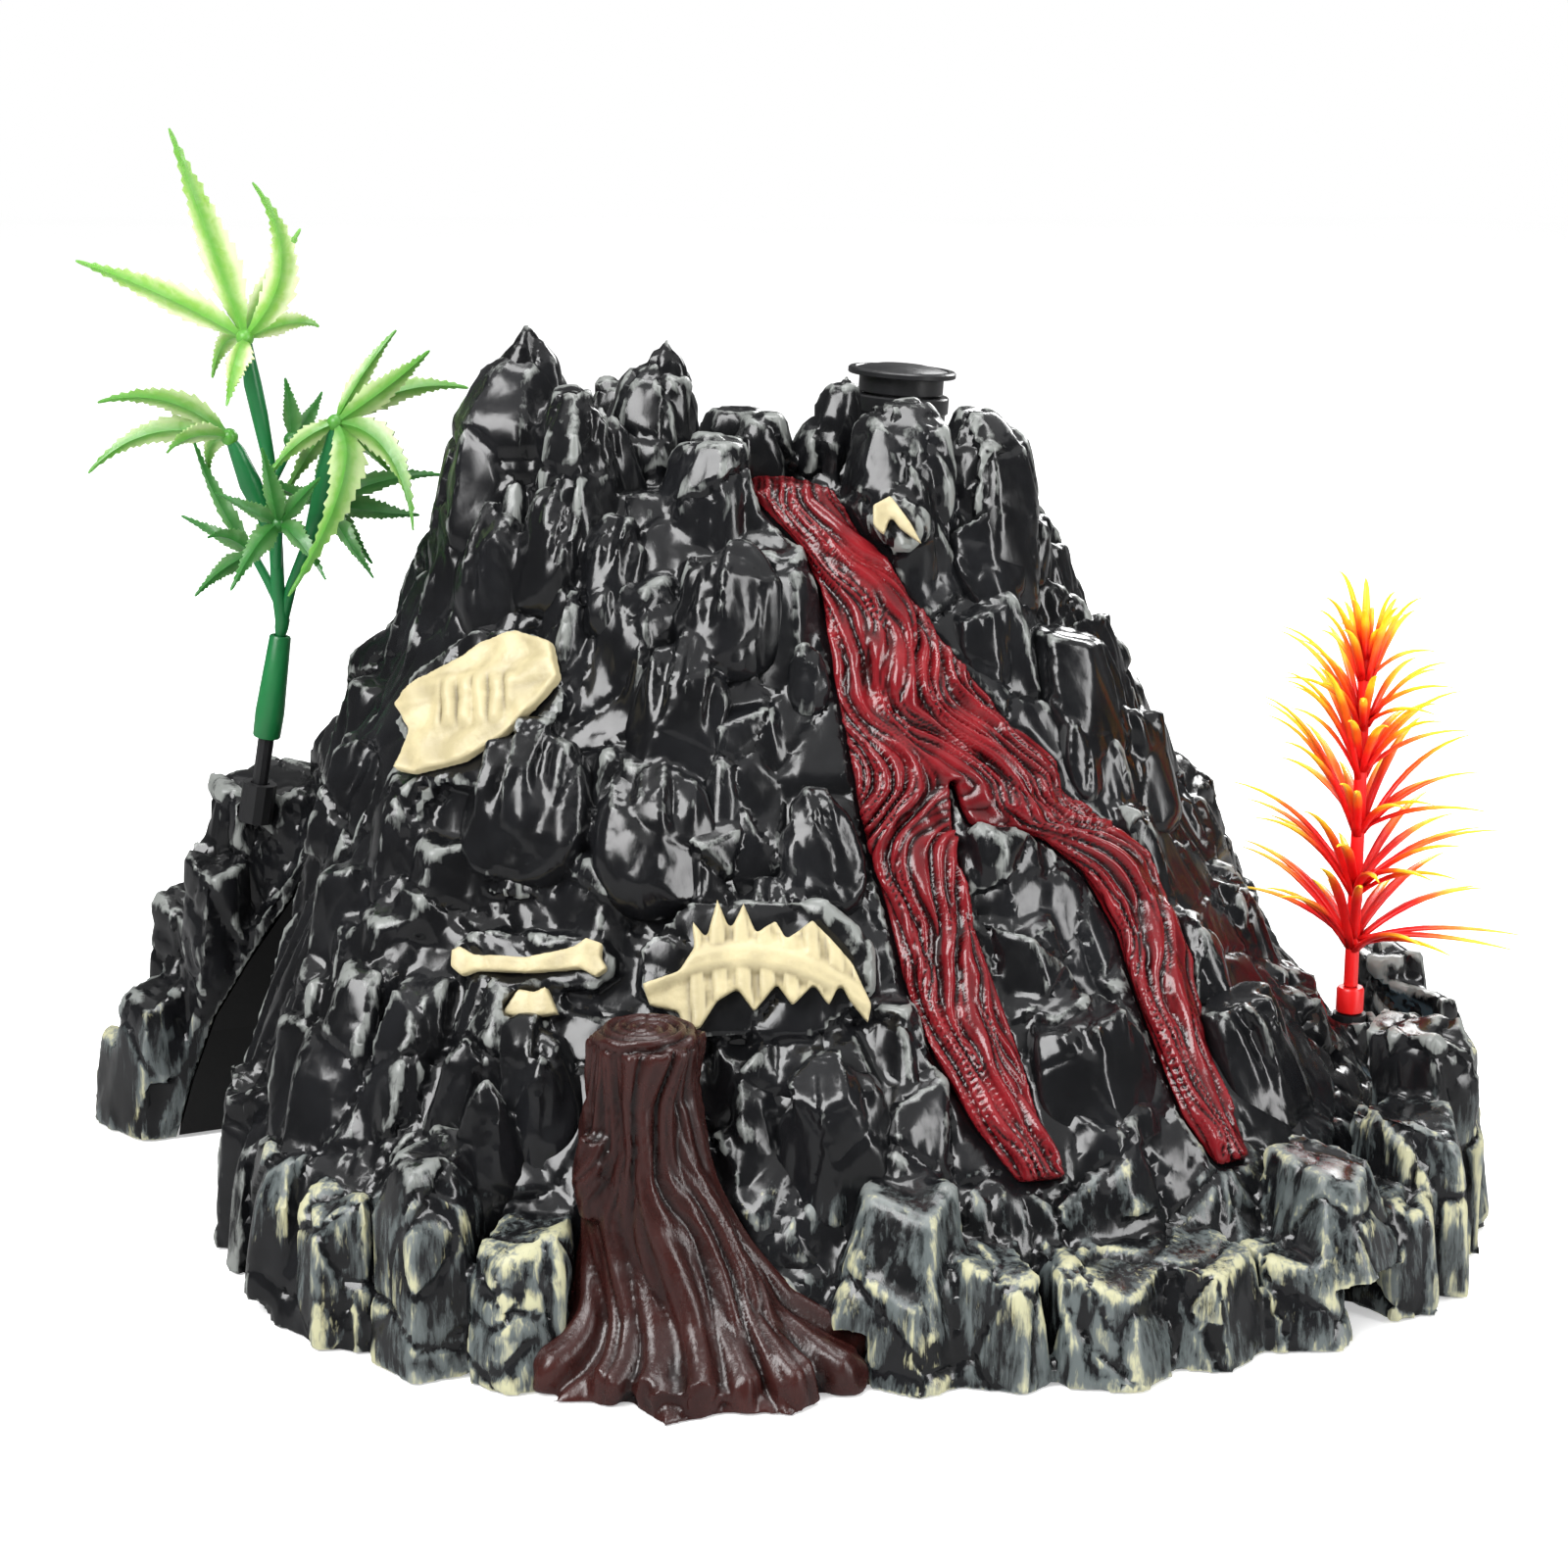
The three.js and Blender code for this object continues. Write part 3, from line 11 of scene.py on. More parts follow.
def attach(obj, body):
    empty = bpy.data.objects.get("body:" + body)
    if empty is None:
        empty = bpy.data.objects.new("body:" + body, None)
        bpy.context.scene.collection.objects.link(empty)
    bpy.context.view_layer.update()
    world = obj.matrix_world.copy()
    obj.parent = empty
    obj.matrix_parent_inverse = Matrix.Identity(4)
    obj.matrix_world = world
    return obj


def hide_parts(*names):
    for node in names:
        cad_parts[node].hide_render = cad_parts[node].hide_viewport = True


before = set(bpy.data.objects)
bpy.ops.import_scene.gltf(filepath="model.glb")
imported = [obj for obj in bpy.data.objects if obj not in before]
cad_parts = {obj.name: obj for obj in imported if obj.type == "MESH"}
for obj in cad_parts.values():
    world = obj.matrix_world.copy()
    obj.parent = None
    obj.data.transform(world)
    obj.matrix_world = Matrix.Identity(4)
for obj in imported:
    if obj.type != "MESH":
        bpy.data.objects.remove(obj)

bl_info = {
    "name": "Volcano Bubbling Ornament",
    "version": (1, 0, 0),
    "blender": (4, 5, 0),
    "location": "View3D > Sidebar > Ornament",
    "description": "Builds the rock, lava, stump, fossils, plants and outlet of a bubbling aquarium ornament",
    "category": "Add Mesh",
}

MM = 0.001

# Most triangles left on the lava and on the stump when a finer grid is asked for
LAVA_TRIANGLES = 190000
STUMP_TRIANGLES = 150000

# Where each run of random numbers starts
STONE_SEED = 23
WHORL_SEED = 40
TIER_SEED = 60

# ------------------------------------------------------------------ sizes, in millimetres
# Core of the rock: height, half width, half depth, middle x, middle y
CORE = [
    (0, 126, 98, -4, 0),
    (25, 116, 88, -4, 0),
    (55, 92.5, 67, -6, 2),
    (90, 71.5, 51, -8, 4),
    (125, 51.5, 35, -8, 8),
    (134, 45, 29.5, -8, 9),
]
CORE_TOP = 134
# Squareness of the core's outline: 2 is an ellipse, more is boxier
SQUARE = 2.4

# Lava bands, top to bottom: height, middle x, width
LAVA_MAIN = [
    (141, -1, 13), (134, 2, 14), (127, 8, 12), (119, 13.5, 14), (111, 17.5, 19),
    (103, 21, 24), (95, 25.5, 29), (87, 30, 35),
]
LAVA_LEFT = [
    (97, 17, 12), (86, 20.5, 16), (78, 22, 15), (68, 24.5, 13.5), (57, 28, 15),
    (46, 32.5, 14), (36, 37.5, 11), (28, 43, 8),
]
LAVA_RIGHT = [
    (94, 36, 12), (88, 38.6, 18.6), (83.5, 40, 18.4), (80.2, 43, 21), (77, 52, 12.5), (71, 58.5, 11),
    (61, 64, 10.5), (52, 66.5, 10), (42, 69.5, 8.5), (34, 72.5, 8), (26.5, 77, 5.5),
]

# Stump rings: height, middle x, middle y, half width, half depth
STUMP = [
    (0, -13.5, -91, 27.5, 22), (4, -14, -90, 23.5, 20), (10, -16.5, -89, 18, 16),
    (20, -19.5, -88, 14.6, 13), (34, -23, -87, 12.2, 11), (46, -23.5, -86, 10.4, 10),
    (54, -22.5, -86, 10.6, 10.4), (57, -22.5, -86, 9.4, 9.4),
]

STACK = dict(x=22, y=15, rim=148.6, lean=4, r=8.75, bore=7.15, foot=101.6, under=128.9, collar=12)
CAP = dict(flange=10.2, thick=1.2, dome=0.9, neck=8, tall=3.3, plug=6.85, plug_long=14)
GREEN_FOOT = (-103.3, 20, 71)
GREEN_LEAN = 10
SLEEVE = dict(start=10.2, long=20.5, foot=2.7, top=2.1)
RED_FOOT = (107.6, -9, 33)
GAP = 0.3

# Twigs of the green plant and the hubs its whorls push on to
HUBS = {
    "top": (-102.4, 20, 158.7), "left": (-106, 19, 140), "right": (-85.3, 17, 142.9),
    "low_right": (-88.6, 23, 127), "low_left": (-103, 22, 117), "front": (-96.4, 14, 124),
    "pod": (-94.5, 22, 139),
}
# Leaves of each whorl: bend, tip, width
LEAVES = {
    "top": [
        ((-108, 19, 178), (-114, 16, 197.7), 7.4), ((-88, 17, 172), (-98.4, 13, 188), 6.4),
        ((-118, 20, 168), (-133.2, 18, 173.3), 6.4), ((-108, 26, 160), (-111, 31, 150.3), 4.4),
        ((-103, 12, 156), (-104, 8, 147), 5), ((-93, 25, 163), (-89.4, 27, 160.4), 4.4),
        ((-99, 32, 170), (-94, 38, 178), 5)],
    "left": [
        ((-116, 15, 151), (-129, 11, 147.5), 5), ((-122, 18, 145), (-132.6, 16, 133.5), 5),
        ((-112, 25, 140), (-112, 28, 131.6), 4), ((-112, 10, 143), (-115, 3, 139), 4)],
    "right": [
        ((-74, 13, 150), (-66, 9, 157.5), 5), ((-72, 17, 152), (-60, 18, 149.5), 5),
        ((-72, 11, 143), (-69.5, 6, 124), 6), ((-77, 6.5, 137), (-93, 2.5, 112), 7),
        ((-90, 25, 140), (-98, 30, 127), 5), ((-80, 19, 153), (-74, 22, 160), 3.6),
        ((-92, 12, 141), (-97, 9, 134), 3.8), ((-82, 24, 139), (-76, 30, 131), 4)],
    "low_right": [
        ((-76, 24, 133), (-66, 25, 132), 4), ((-80, 29, 124), (-72, 33, 123), 5),
        ((-86, 31, 120), (-82, 36, 113), 4), ((-84, 20, 119), (-79, 18, 113), 3.6),
        ((-90, 22, 134), (-86, 20, 141), 3.4), ((-95, 21, 128), (-100, 20, 133), 3.4)],
    "low_left": [
        ((-107, 20, 122), (-111, 18, 121), 4), ((-104, 30, 118), (-107, 36, 112), 4),
        ((-111, 25, 127), (-114.5, 27, 139), 3.6), ((-108, 17, 116), (-113, 14, 110), 3.6),
        ((-99, 18, 124), (-96, 17, 132), 3.2), ((-109, 24, 120), (-117, 25, 124), 3.4)],
    "front": [
        ((-99, 7, 123), (-104, 3, 113), 4.6), ((-92, 8, 124), (-86, 4, 115), 4.6),
        ((-96, 6, 132), (-97, 3, 140), 4), ((-92, 10, 129), (-87, 7, 134), 3.4),
        ((-100, 10, 127), (-107, 8, 131), 3.4)],
    "pod": [((-94.5, 23, 145), (-95.4, 22, 151), 3.6), ((-92, 28, 143), (-90, 32, 147), 3.4)],
}

# Red tiers: height above the foot, reach outwards, rise of the tip, first angle
TIERS = [
    (14.5, 26, 4, 0.45), (25.5, 26.5, 7, 0.5), (37, 21, 12, 0.1), (48, 17.5, 12, 0.4),
    (57.5, 15, 10, 0.0), (65, 10.5, 11, 0.3), (70, 5, 9, 0.6),
]
# Direction of the rock seen from the red plant, in radians
ROCK_SIDE = 3.6

# The shell's own horns are squashed by this share above this height, so that the crest stones cover them
HORN_START = 152
HORN_CUT = 0.55

# Rows of standing stones on the flanks: foot height, stone height, stone width
STONE_ROWS = [(24, 35, 22), (44, 37, 21.5), (66, 37, 21), (88, 36, 19), (108, 29, 16)]

# Pointed stones on the crest, and a few beside the stump: middle x, middle y, foot height, head height,
# width, lean to the right in degrees
CREST_STONES = [
    (-48.5, -1, 104, 163, 25, 2), (-23.5, 2, 122, 160, 17, 3), (-36.5, -17, 104, 153, 18, 1),
    (-29, -12, 118, 148, 13, -4), (-58, -10, 94, 132, 18, 6), (-12, -19, 112, 145, 18, 0),
    (21.5, -18, 108, 150, 17, -2), (38, -10, 100, 148, 20, -5), (47, -4, 98, 134, 17, -8),
    (9.5, -1, 124, 154, 11, 4), (-4, 2, 122, 147, 12, 0), (-66, -2, 90, 122, 16, 8),
    (-51, -81, 10, 46, 15, 3), (6, -80, 12, 44, 14, -3), (50, 2, 92, 128, 18, -10),
    (-41, -77.5, 10, 49, 13, 1), (-56, -72, 14, 50, 16, 4),
]

# Places kept free of standing stones: lowest and highest corner
FREE_SPACE = [
    ((-150, -140, 0), (-72, 70, 86)), ((80, -38, 0), (150, 40, 130)), ((-150, -25, 96), (-58, 70, 200)),
    ((0, -15, 118), (46, 45, 170)), ((-30, -140, 0), (-10, -80, 54)), ((-70, -50, 86), (-36, -22, 114)),
    ((-62, -86, 40), (-28, -60, 64)),
]


# ------------------------------------------------------------------ settings a user would change
class RockLook(bpy.types.PropertyGroup):
    grid: bpy.props.FloatProperty(
        name="Grid", description="Cell size the rock is rebuilt on", default=1.0 * MM, unit="LENGTH")
    facet: bpy.props.FloatProperty(
        name="Facets", description="How far hewn facets tilt in and out", default=0.8 * MM, unit="LENGTH")
    crease: bpy.props.FloatProperty(
        name="Creases", description="Depth of the creases between facets", default=0.8 * MM, unit="LENGTH")
    furrow: bpy.props.FloatProperty(
        name="Furrows", description="Depth of the upright folds", default=1.0 * MM, unit="LENGTH")
    keep: bpy.props.IntProperty(
        name="Triangles", description="Triangles kept on each of the three rock pieces", default=186000)
    black: bpy.props.FloatVectorProperty(
        name="Rock black", description="Moulded rock colour", subtype="COLOR", size=4,
        default=(0.0042, 0.0044, 0.005, 1))
    wash: bpy.props.FloatVectorProperty(
        name="Grey wash", description="Thin grey wash over the foot stones", subtype="COLOR", size=4,
        default=(0.13, 0.155, 0.155, 1))
    silver: bpy.props.FloatVectorProperty(
        name="Silver rub", description="Thin grey rubbed on the ridges", subtype="COLOR", size=4,
        default=(0.36, 0.38, 0.36, 1))
    cream: bpy.props.FloatVectorProperty(
        name="Cream rub", description="Heavy cream dry-brushed on the foot stones", subtype="COLOR", size=4,
        default=(0.5, 0.48, 0.28, 1))


class LavaLook(bpy.types.PropertyGroup):
    rope: bpy.props.FloatProperty(
        name="Ropes", description="How high the lava's ropes stand", default=2.1 * MM, unit="LENGTH")
    grid: bpy.props.FloatProperty(
        name="Grid", description="Cell size the lava is rebuilt on", default=0.5 * MM, unit="LENGTH")
    red: bpy.props.FloatVectorProperty(
        name="Lava red", description="Moulded lava colour", subtype="COLOR", size=4,
        default=(0.15, 0.006, 0.0095, 1))


class StumpLook(bpy.types.PropertyGroup):
    fold: bpy.props.FloatProperty(
        name="Bark folds", description="How deep the bark's folds run", default=1.8 * MM, unit="LENGTH")
    grid: bpy.props.FloatProperty(
        name="Grid", description="Cell size the stump is rebuilt on", default=0.55 * MM, unit="LENGTH")
    brown: bpy.props.FloatVectorProperty(
        name="Bark brown", description="Moulded bark colour", subtype="COLOR", size=4,
        default=(0.03, 0.0075, 0.0062, 1))


class PlantLook(bpy.types.PropertyGroup):
    broad: bpy.props.FloatProperty(
        name="Leaf breadth", description="Leaf width as a share of the width given for each leaf",
        default=0.98)
    needles: bpy.props.IntProperty(
        name="Needles", description="Needles on each tier of the red plant", default=17)
    leaf: bpy.props.FloatVectorProperty(
        name="Leaf green", description="Fresh leaf colour", subtype="COLOR", size=4,
        default=(0.22, 0.4, 0.07, 1))
    margin: bpy.props.FloatVectorProperty(
        name="Leaf margin", description="Pale leaf edge colour", subtype="COLOR", size=4,
        default=(0.62, 0.66, 0.4, 1))
    stem: bpy.props.FloatVectorProperty(
        name="Stem green", description="Dark stem colour", subtype="COLOR", size=4,
        default=(0.008, 0.13, 0.035, 1))
    root_red: bpy.props.FloatVectorProperty(
        name="Needle root", description="Colour at a needle's root", subtype="COLOR", size=4,
        default=(0.72, 0.008, 0.008, 1))
    tip_yellow: bpy.props.FloatVectorProperty(
        name="Needle tip", description="Colour at a needle's tip", subtype="COLOR", size=4,
        default=(0.95, 0.6, 0.02, 1))


class BoneLook(bpy.types.PropertyGroup):
    grid: bpy.props.FloatProperty(
        name="Grid", description="Cell size the fossils are rebuilt on", default=0.4 * MM, unit="LENGTH")
    ivory: bpy.props.FloatVectorProperty(
        name="Bone ivory", description="Fossil colour", subtype="COLOR", size=4,
        default=(0.43, 0.37, 0.215, 1))


class StageLook(bpy.types.PropertyGroup):
    lens: bpy.props.FloatProperty(name="Lens", description="Camera lens in millimetres", default=67.16)
    height: bpy.props.FloatProperty(
        name="Camera height", description="Camera above the floor", default=0.207, unit="LENGTH")
    distance: bpy.props.FloatProperty(
        name="Camera distance", description="Camera in front of the middle", default=0.540, unit="LENGTH")
    pitch: bpy.props.FloatProperty(
        name="Camera pitch", description="How far the camera looks down", default=math.radians(13.6),
        unit="ROTATION")
    floor: bpy.props.FloatVectorProperty(
        name="Floor", description="Pale floor colour", subtype="COLOR", size=4, default=(0.9, 0.9, 0.9, 1))


# ------------------------------------------------------------------ mesh helpers
def pick(piece):
    bpy.ops.object.select_all(action="DESELECT")
    piece.select_set(True)
    bpy.context.view_layer.objects.active = piece


def finish_modifier(piece, kind, **settings):
    pick(piece)
    modifier = piece.modifiers.new(kind.lower(), kind)
    for key, value in settings.items():
        setattr(modifier, key, value)
    bpy.ops.object.modifier_apply(modifier=modifier.name)


def remesh(piece, grid):
    finish_modifier(piece, "REMESH", mode="VOXEL", voxel_size=grid, adaptivity=0.0)


def thin(piece, most):
    """Thins a remeshed piece, which is all quads, to about this many triangles."""
    count = 2 * len(piece.data.polygons)
    if count > most:
        finish_modifier(piece, "DECIMATE", ratio=most / count)


def merged_copy(node, name):
    """A piece of its own with the CAD node's shape, its corners merged."""
    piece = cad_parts[node].copy()
    piece.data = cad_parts[node].data.copy()
    piece.name = piece.data.name = name
    piece.parent = None
    piece.matrix_world = Matrix.Identity(4)
    bpy.context.scene.collection.objects.link(piece)
    piece.data.materials.clear()
    pick(piece)
    bpy.ops.object.mode_set(mode="EDIT")
    bpy.ops.mesh.select_all(action="SELECT")
    bpy.ops.mesh.remove_doubles(threshold=1e-6)
    bpy.ops.object.mode_set(mode="OBJECT")
    return piece


def join(pieces, name):
    bpy.ops.object.select_all(action="DESELECT")
    for piece in pieces:
        piece.select_set(True)
    bpy.context.view_layer.objects.active = pieces[0]
    bpy.ops.object.join()
    pieces[0].name = pieces[0].data.name = name
    return pieces[0]


def smooth_shading(piece, angle=None):
    pick(piece)
    if angle is None:
        bpy.ops.object.shade_smooth()
    else:
        bpy.ops.object.shade_smooth_by_angle(angle=math.radians(angle))


def points_of(piece):
    out = np.empty(len(piece.data.vertices) * 3, dtype=np.float32)
    piece.data.vertices.foreach_get("co", out)
    return out.reshape(-1, 3).astype(np.float64)


def triangles_of(piece):
    return sum(len(face.vertices) - 2 for face in piece.data.polygons)


def normals_of(piece):
    out = np.empty(len(piece.data.vertices) * 3, dtype=np.float32)
    piece.data.vertices.foreach_get("normal", out)
    return out.reshape(-1, 3).astype(np.float64)


def set_points(piece, points):
    piece.data.vertices.foreach_set("co", points.astype(np.float32).ravel())
    piece.data.update()


def relaxed(piece, points, turns, amount):
    """Points moved towards the middle of their neighbours."""
    edges = np.empty(len(piece.data.edges) * 2, dtype=np.int64)
    piece.data.edges.foreach_get("vertices", edges)
    a, b = edges.reshape(-1, 2).T
    count = np.maximum(np.bincount(a, minlength=len(points)) + np.bincount(b, minlength=len(points)), 1)
    for _ in range(turns):
        middle = np.empty_like(points)
        for k in range(points.shape[1]):
            column = points[:, k]
            near = np.bincount(a, column[b], len(points)) + np.bincount(b, column[a], len(points))
            middle[:, k] = near / count
        points = points + amount * (middle - points)
    return points


def set_mark(piece, name, values):
    mark = piece.data.attributes.get(name) or piece.data.attributes.new(name, "FLOAT", "POINT")
    mark.data.foreach_set("value", values.astype(np.float32))


def ramp(low, high, value):
    """Smooth step from 0 at low to 1 at high; low may be the larger."""
    t = np.clip((value - low) / (high - low), 0, 1)
    return t * t * (3 - 2 * t)


def tubes(name, runs, sides=2):
    """One mesh of round tubes; each run is a list of (point in mm, radius in mm)."""
    curve = bpy.data.curves.new(name, "CURVE")
    curve.dimensions = "3D"
    curve.bevel_depth = 1.0
    curve.bevel_resolution = sides
    curve.use_fill_caps = True
    for run in runs:
        spline = curve.splines.new("POLY")
        spline.points.add(len(run) - 1)
        for point, (place, radius) in zip(spline.points, run):
            point.co = (*[c * MM for c in place], 1)
            point.radius = radius * MM
    piece = bpy.data.objects.new(name, curve)
    bpy.context.scene.collection.objects.link(piece)
    pick(piece)
    bpy.ops.object.convert(target="MESH")
    return bpy.context.view_layer.objects.active


def turned(name, profile, sides=64):
    """Closed turned piece about Z from (radius, height) pairs in mm: a ring drawn along it."""
    bpy.ops.object.select_all(action="DESELECT")
    first = profile[0]
    bpy.ops.mesh.primitive_circle_add(vertices=sides, radius=first[0] * MM, location=(0, 0, first[1] * MM))
    piece = bpy.context.view_layer.objects.active
    bpy.ops.object.transform_apply(location=True, rotation=False, scale=False)
    piece.name = piece.data.name = name
    bpy.ops.object.mode_set(mode="EDIT")
    bpy.ops.mesh.select_all(action="SELECT")
    for (r0, z0), (r1, z1) in zip(profile, profile[1:]):
        bpy.ops.mesh.extrude_region_move(TRANSFORM_OT_translate={"value": (0, 0, (z1 - z0) * MM)})
        bpy.ops.transform.resize(value=(r1 / r0, r1 / r0, 1), center_override=(0, 0, z1 * MM))
    bpy.ops.mesh.select_all(action="SELECT")
    bpy.ops.mesh.remove_doubles(threshold=1e-6)
    bpy.ops.mesh.select_all(action="DESELECT")
    bpy.ops.mesh.select_non_manifold(extend=False)
    bpy.ops.mesh.fill_holes(sides=0)
    bpy.ops.mesh.select_all(action="SELECT")
    bpy.ops.mesh.normals_make_consistent(inside=False)
    bpy.ops.object.mode_set(mode="OBJECT")
    return piece


def place(piece, matrix):
    piece.data.transform(matrix)
    piece.data.update()
    return piece


def leaning(foot, degrees, start=0.0):
    """Matrix that puts a piece made upright at the origin on a line leaning towards +X."""
    turn = Matrix.Rotation(math.radians(degrees), 4, "Y")
    return Matrix.Translation(Vector(foot) * MM) @ turn @ Matrix.Translation((0, 0, start * MM))


# ------------------------------------------------------------------ rock core
def core_at(z):
    levels = [row[0] for row in CORE]
    z = np.clip(z, 0, CORE_TOP)
    return [np.interp(z, levels, [row[k] for row in CORE]) for k in (1, 2, 3, 4)]


# ------------------------------------------------------------------ material helpers
class Nodes:
    """A node tree and the few moves that every finish and every shared group needs."""

    def __init__(self, tree):
        self.tree = tree

    def add(self, kind, **sockets):
        node = self.tree.nodes.new(kind)
        for name, value in sockets.items():
            self.feed(node, name.replace("_", " "), value)
        return node

    def feed(self, node, name, value):
        if isinstance(value, bpy.types.NodeSocket):
            self.tree.links.new(value, node.inputs[name])
        else:
            node.inputs[name].default_value = value

    def calc(self, kind, a, b, clamp=False):
        node = self.add("ShaderNodeMath")
        node.operation = kind
        node.use_clamp = clamp
        self.feed(node, 0, a)
        self.feed(node, 1, b)
        return node.outputs["Value"]


class Paint(Nodes):
    """A material and the steps its look is mixed from."""

    def __init__(self, name):
        self.material = bpy.data.materials.new(name)
        self.material.use_nodes = True
        super().__init__(self.material.node_tree)
        self.shader = self.tree.nodes["Principled BSDF"]

    def place(self, stretch=(1, 1, 1)):
        spots = self.add("ShaderNodeTexCoord").outputs["Object"]
        mapping = self.add("ShaderNodeMapping", Vector=spots)
        mapping.inputs["Scale"].default_value = stretch
        return mapping.outputs["Vector"]

    def noise(self, scale, detail=3.0, rough=0.5, stretch=(1, 1, 1), twist=0.0):
        node = self.add("ShaderNodeTexNoise", Vector=self.place(stretch), Scale=scale, Detail=detail,
                        Roughness=rough)
        node.inputs["Distortion"].default_value = twist
        return node.outputs["Fac"]

    def mark(self, name):
        node = self.add("ShaderNodeAttribute")
        node.attribute_name = name
        return node.outputs["Fac"]

    def window(self, value, low, high, to_low=0.0, to_high=1.0):
        node = self.add("ShaderNodeMapRange")
        node.interpolation_type = "SMOOTHSTEP"
        self.feed(node, "Value", value)
        for name, number in (("From Min", low), ("From Max", high), ("To Min", to_low), ("To Max", to_high)):
            node.inputs[name].default_value = number
        return node.outputs["Result"]

    def mix(self, share, a, b):
        node = self.add("ShaderNodeMix")
        node.data_type = "RGBA"
        self.feed(node, 0, share)
        self.feed(node, 6, a)
        self.feed(node, 7, b)
        return node.outputs[2]

    def group(self, group, **sockets):
        node = self.tree.nodes.new("ShaderNodeGroup")
        node.node_tree = group
        for name, value in sockets.items():
            self.feed(node, name.replace("_", " "), value)
        return node

    def bump(self, height, depth, share=1.0):
        node = self.add("ShaderNodeBump", Height=height, Strength=share)
        node.inputs["Distance"].default_value = depth
        self.feed(self.shader, "Normal", node.outputs["Normal"])

    def soften(self, radius, scale):
        """Lets a little light through, as thin plastic does."""
        for name, value in (("Weight", 0.2), ("Radius", radius), ("Scale", scale)):
            self.shader.inputs[f"Subsurface {name}"].default_value = value


def new_group(name, inputs, outputs):
    group = bpy.data.node_groups.new(name, "ShaderNodeTree")
    for label, kind, default in inputs:
        made = group.interface.new_socket(label, in_out="INPUT", socket_type=kind)
        if default is not None:
            made.default_value = default
    for label, kind in outputs:
        group.interface.new_socket(label, in_out="OUTPUT", socket_type=kind)
    return group, group.nodes.new("NodeGroupInput"), group.nodes.new("NodeGroupOutput")


def rub_group():
    """Dry-brushed rub: a ridge mark broken up by upright brush streaks and slow patches."""
    name = "dry_brush_rub"
    if name in bpy.data.node_groups:
        return bpy.data.node_groups[name]
    group, start, end = new_group(
        name,
        [("Ridge", "NodeSocketFloat", 0.0), ("Amount", "NodeSocketFloat", 0.5),
         ("Streak Scale", "NodeSocketFloat", 900.0),
         ("Upright Stretch", "NodeSocketFloat", 0.15), ("Patch Scale", "NodeSocketFloat", 50.0),
         ("Sharpness", "NodeSocketFloat", 3.0)],
        [("Mask", "NodeSocketFloat")])
    brush = Nodes(group)
    spots = brush.add("ShaderNodeTexCoord").outputs["Object"]
    squeeze = brush.add("ShaderNodeCombineXYZ", X=1, Y=1, Z=start.outputs["Upright Stretch"])
    scaled = brush.add("ShaderNodeVectorMath")
    scaled.operation = "MULTIPLY"
    brush.feed(scaled, 0, spots)
    brush.feed(scaled, 1, squeeze.outputs["Vector"])
    streak = brush.add("ShaderNodeTexNoise", Vector=scaled.outputs["Vector"],
                       Scale=start.outputs["Streak Scale"], Detail=4, Roughness=0.65, Distortion=0.3)
    patch = brush.add("ShaderNodeTexNoise", Vector=spots, Scale=start.outputs["Patch Scale"], Detail=3)
    level = brush.calc("ADD", start.outputs["Ridge"], brush.calc("MULTIPLY", streak.outputs["Fac"], 1.3))
    level = brush.calc("ADD", level, brush.calc("MULTIPLY", patch.outputs["Fac"], 1.1))
    over = brush.calc("SUBTRACT", level, brush.calc("SUBTRACT", 2.3, start.outputs["Amount"]))
    brush.feed(end, "Mask", brush.calc("MULTIPLY", over, start.outputs["Sharpness"], clamp=True))
    return group


def skin_group():
    """Moulded plastic skin: slow colour drift, roughness drift and a fine surface height."""
    name = "moulded_skin"
    if name in bpy.data.node_groups:
        return bpy.data.node_groups[name]
    group, start, end = new_group(
        name,
        [("Color", "NodeSocketColor", (0.5, 0.5, 0.5, 1)), ("Drift", "NodeSocketFloat", 0.12),
         ("Roughness", "NodeSocketFloat", 0.4), ("Grain Scale", "NodeSocketFloat", 900.0)],
        [("Color", "NodeSocketColor"), ("Roughness", "NodeSocketFloat"), ("Height", "NodeSocketFloat")])
    skin = Nodes(group)
    spots = skin.add("ShaderNodeTexCoord").outputs["Object"]
    slow = skin.add("ShaderNodeTexNoise", Vector=spots, Scale=55, Detail=4)
    grain = skin.add("ShaderNodeTexNoise", Vector=spots, Scale=start.outputs["Grain Scale"], Detail=3)
    centred = skin.calc("SUBTRACT", slow.outputs["Fac"], 0.5)
    drift = skin.calc("MULTIPLY", centred, start.outputs["Drift"])
    bright = skin.add("ShaderNodeMath")
    bright.operation = "MULTIPLY_ADD"
    for slot, value in enumerate((drift, 4, 1)):
        skin.feed(bright, slot, value)
    tint = skin.add("ShaderNodeVectorMath")
    tint.operation = "SCALE"
    skin.feed(tint, 0, start.outputs["Color"])
    skin.feed(tint, "Scale", bright.outputs["Value"])
    skin.feed(end, "Color", tint.outputs["Vector"])
    skin.feed(end, "Roughness", skin.calc("ADD", start.outputs["Roughness"], drift, clamp=True))
    skin.feed(end, "Height", grain.outputs["Fac"])
    return group


def moulded(name, color, rough=0.4, drift=0.12, grain=900.0, depth=0.00004, metal=0.0, **sockets):
    """Plain moulded or turned finish with drift and grain."""
    paint = Paint(name)
    skin = paint.group(skin_group(), Color=color, Drift=drift, Roughness=rough, Grain_Scale=grain)
    paint.feed(paint.shader, "Base Color", skin.outputs["Color"])
    paint.feed(paint.shader, "Roughness", skin.outputs["Roughness"])
    paint.shader.inputs["Metallic"].default_value = metal
    for key, value in sockets.items():
        paint.shader.inputs[key.replace("_", " ")].default_value = value
    paint.bump(skin.outputs["Height"], depth)
    return paint.material


def tinted(color, share):
    """The same colour, lighter or darker."""
    return [c * share for c in color[:3]] + [1]


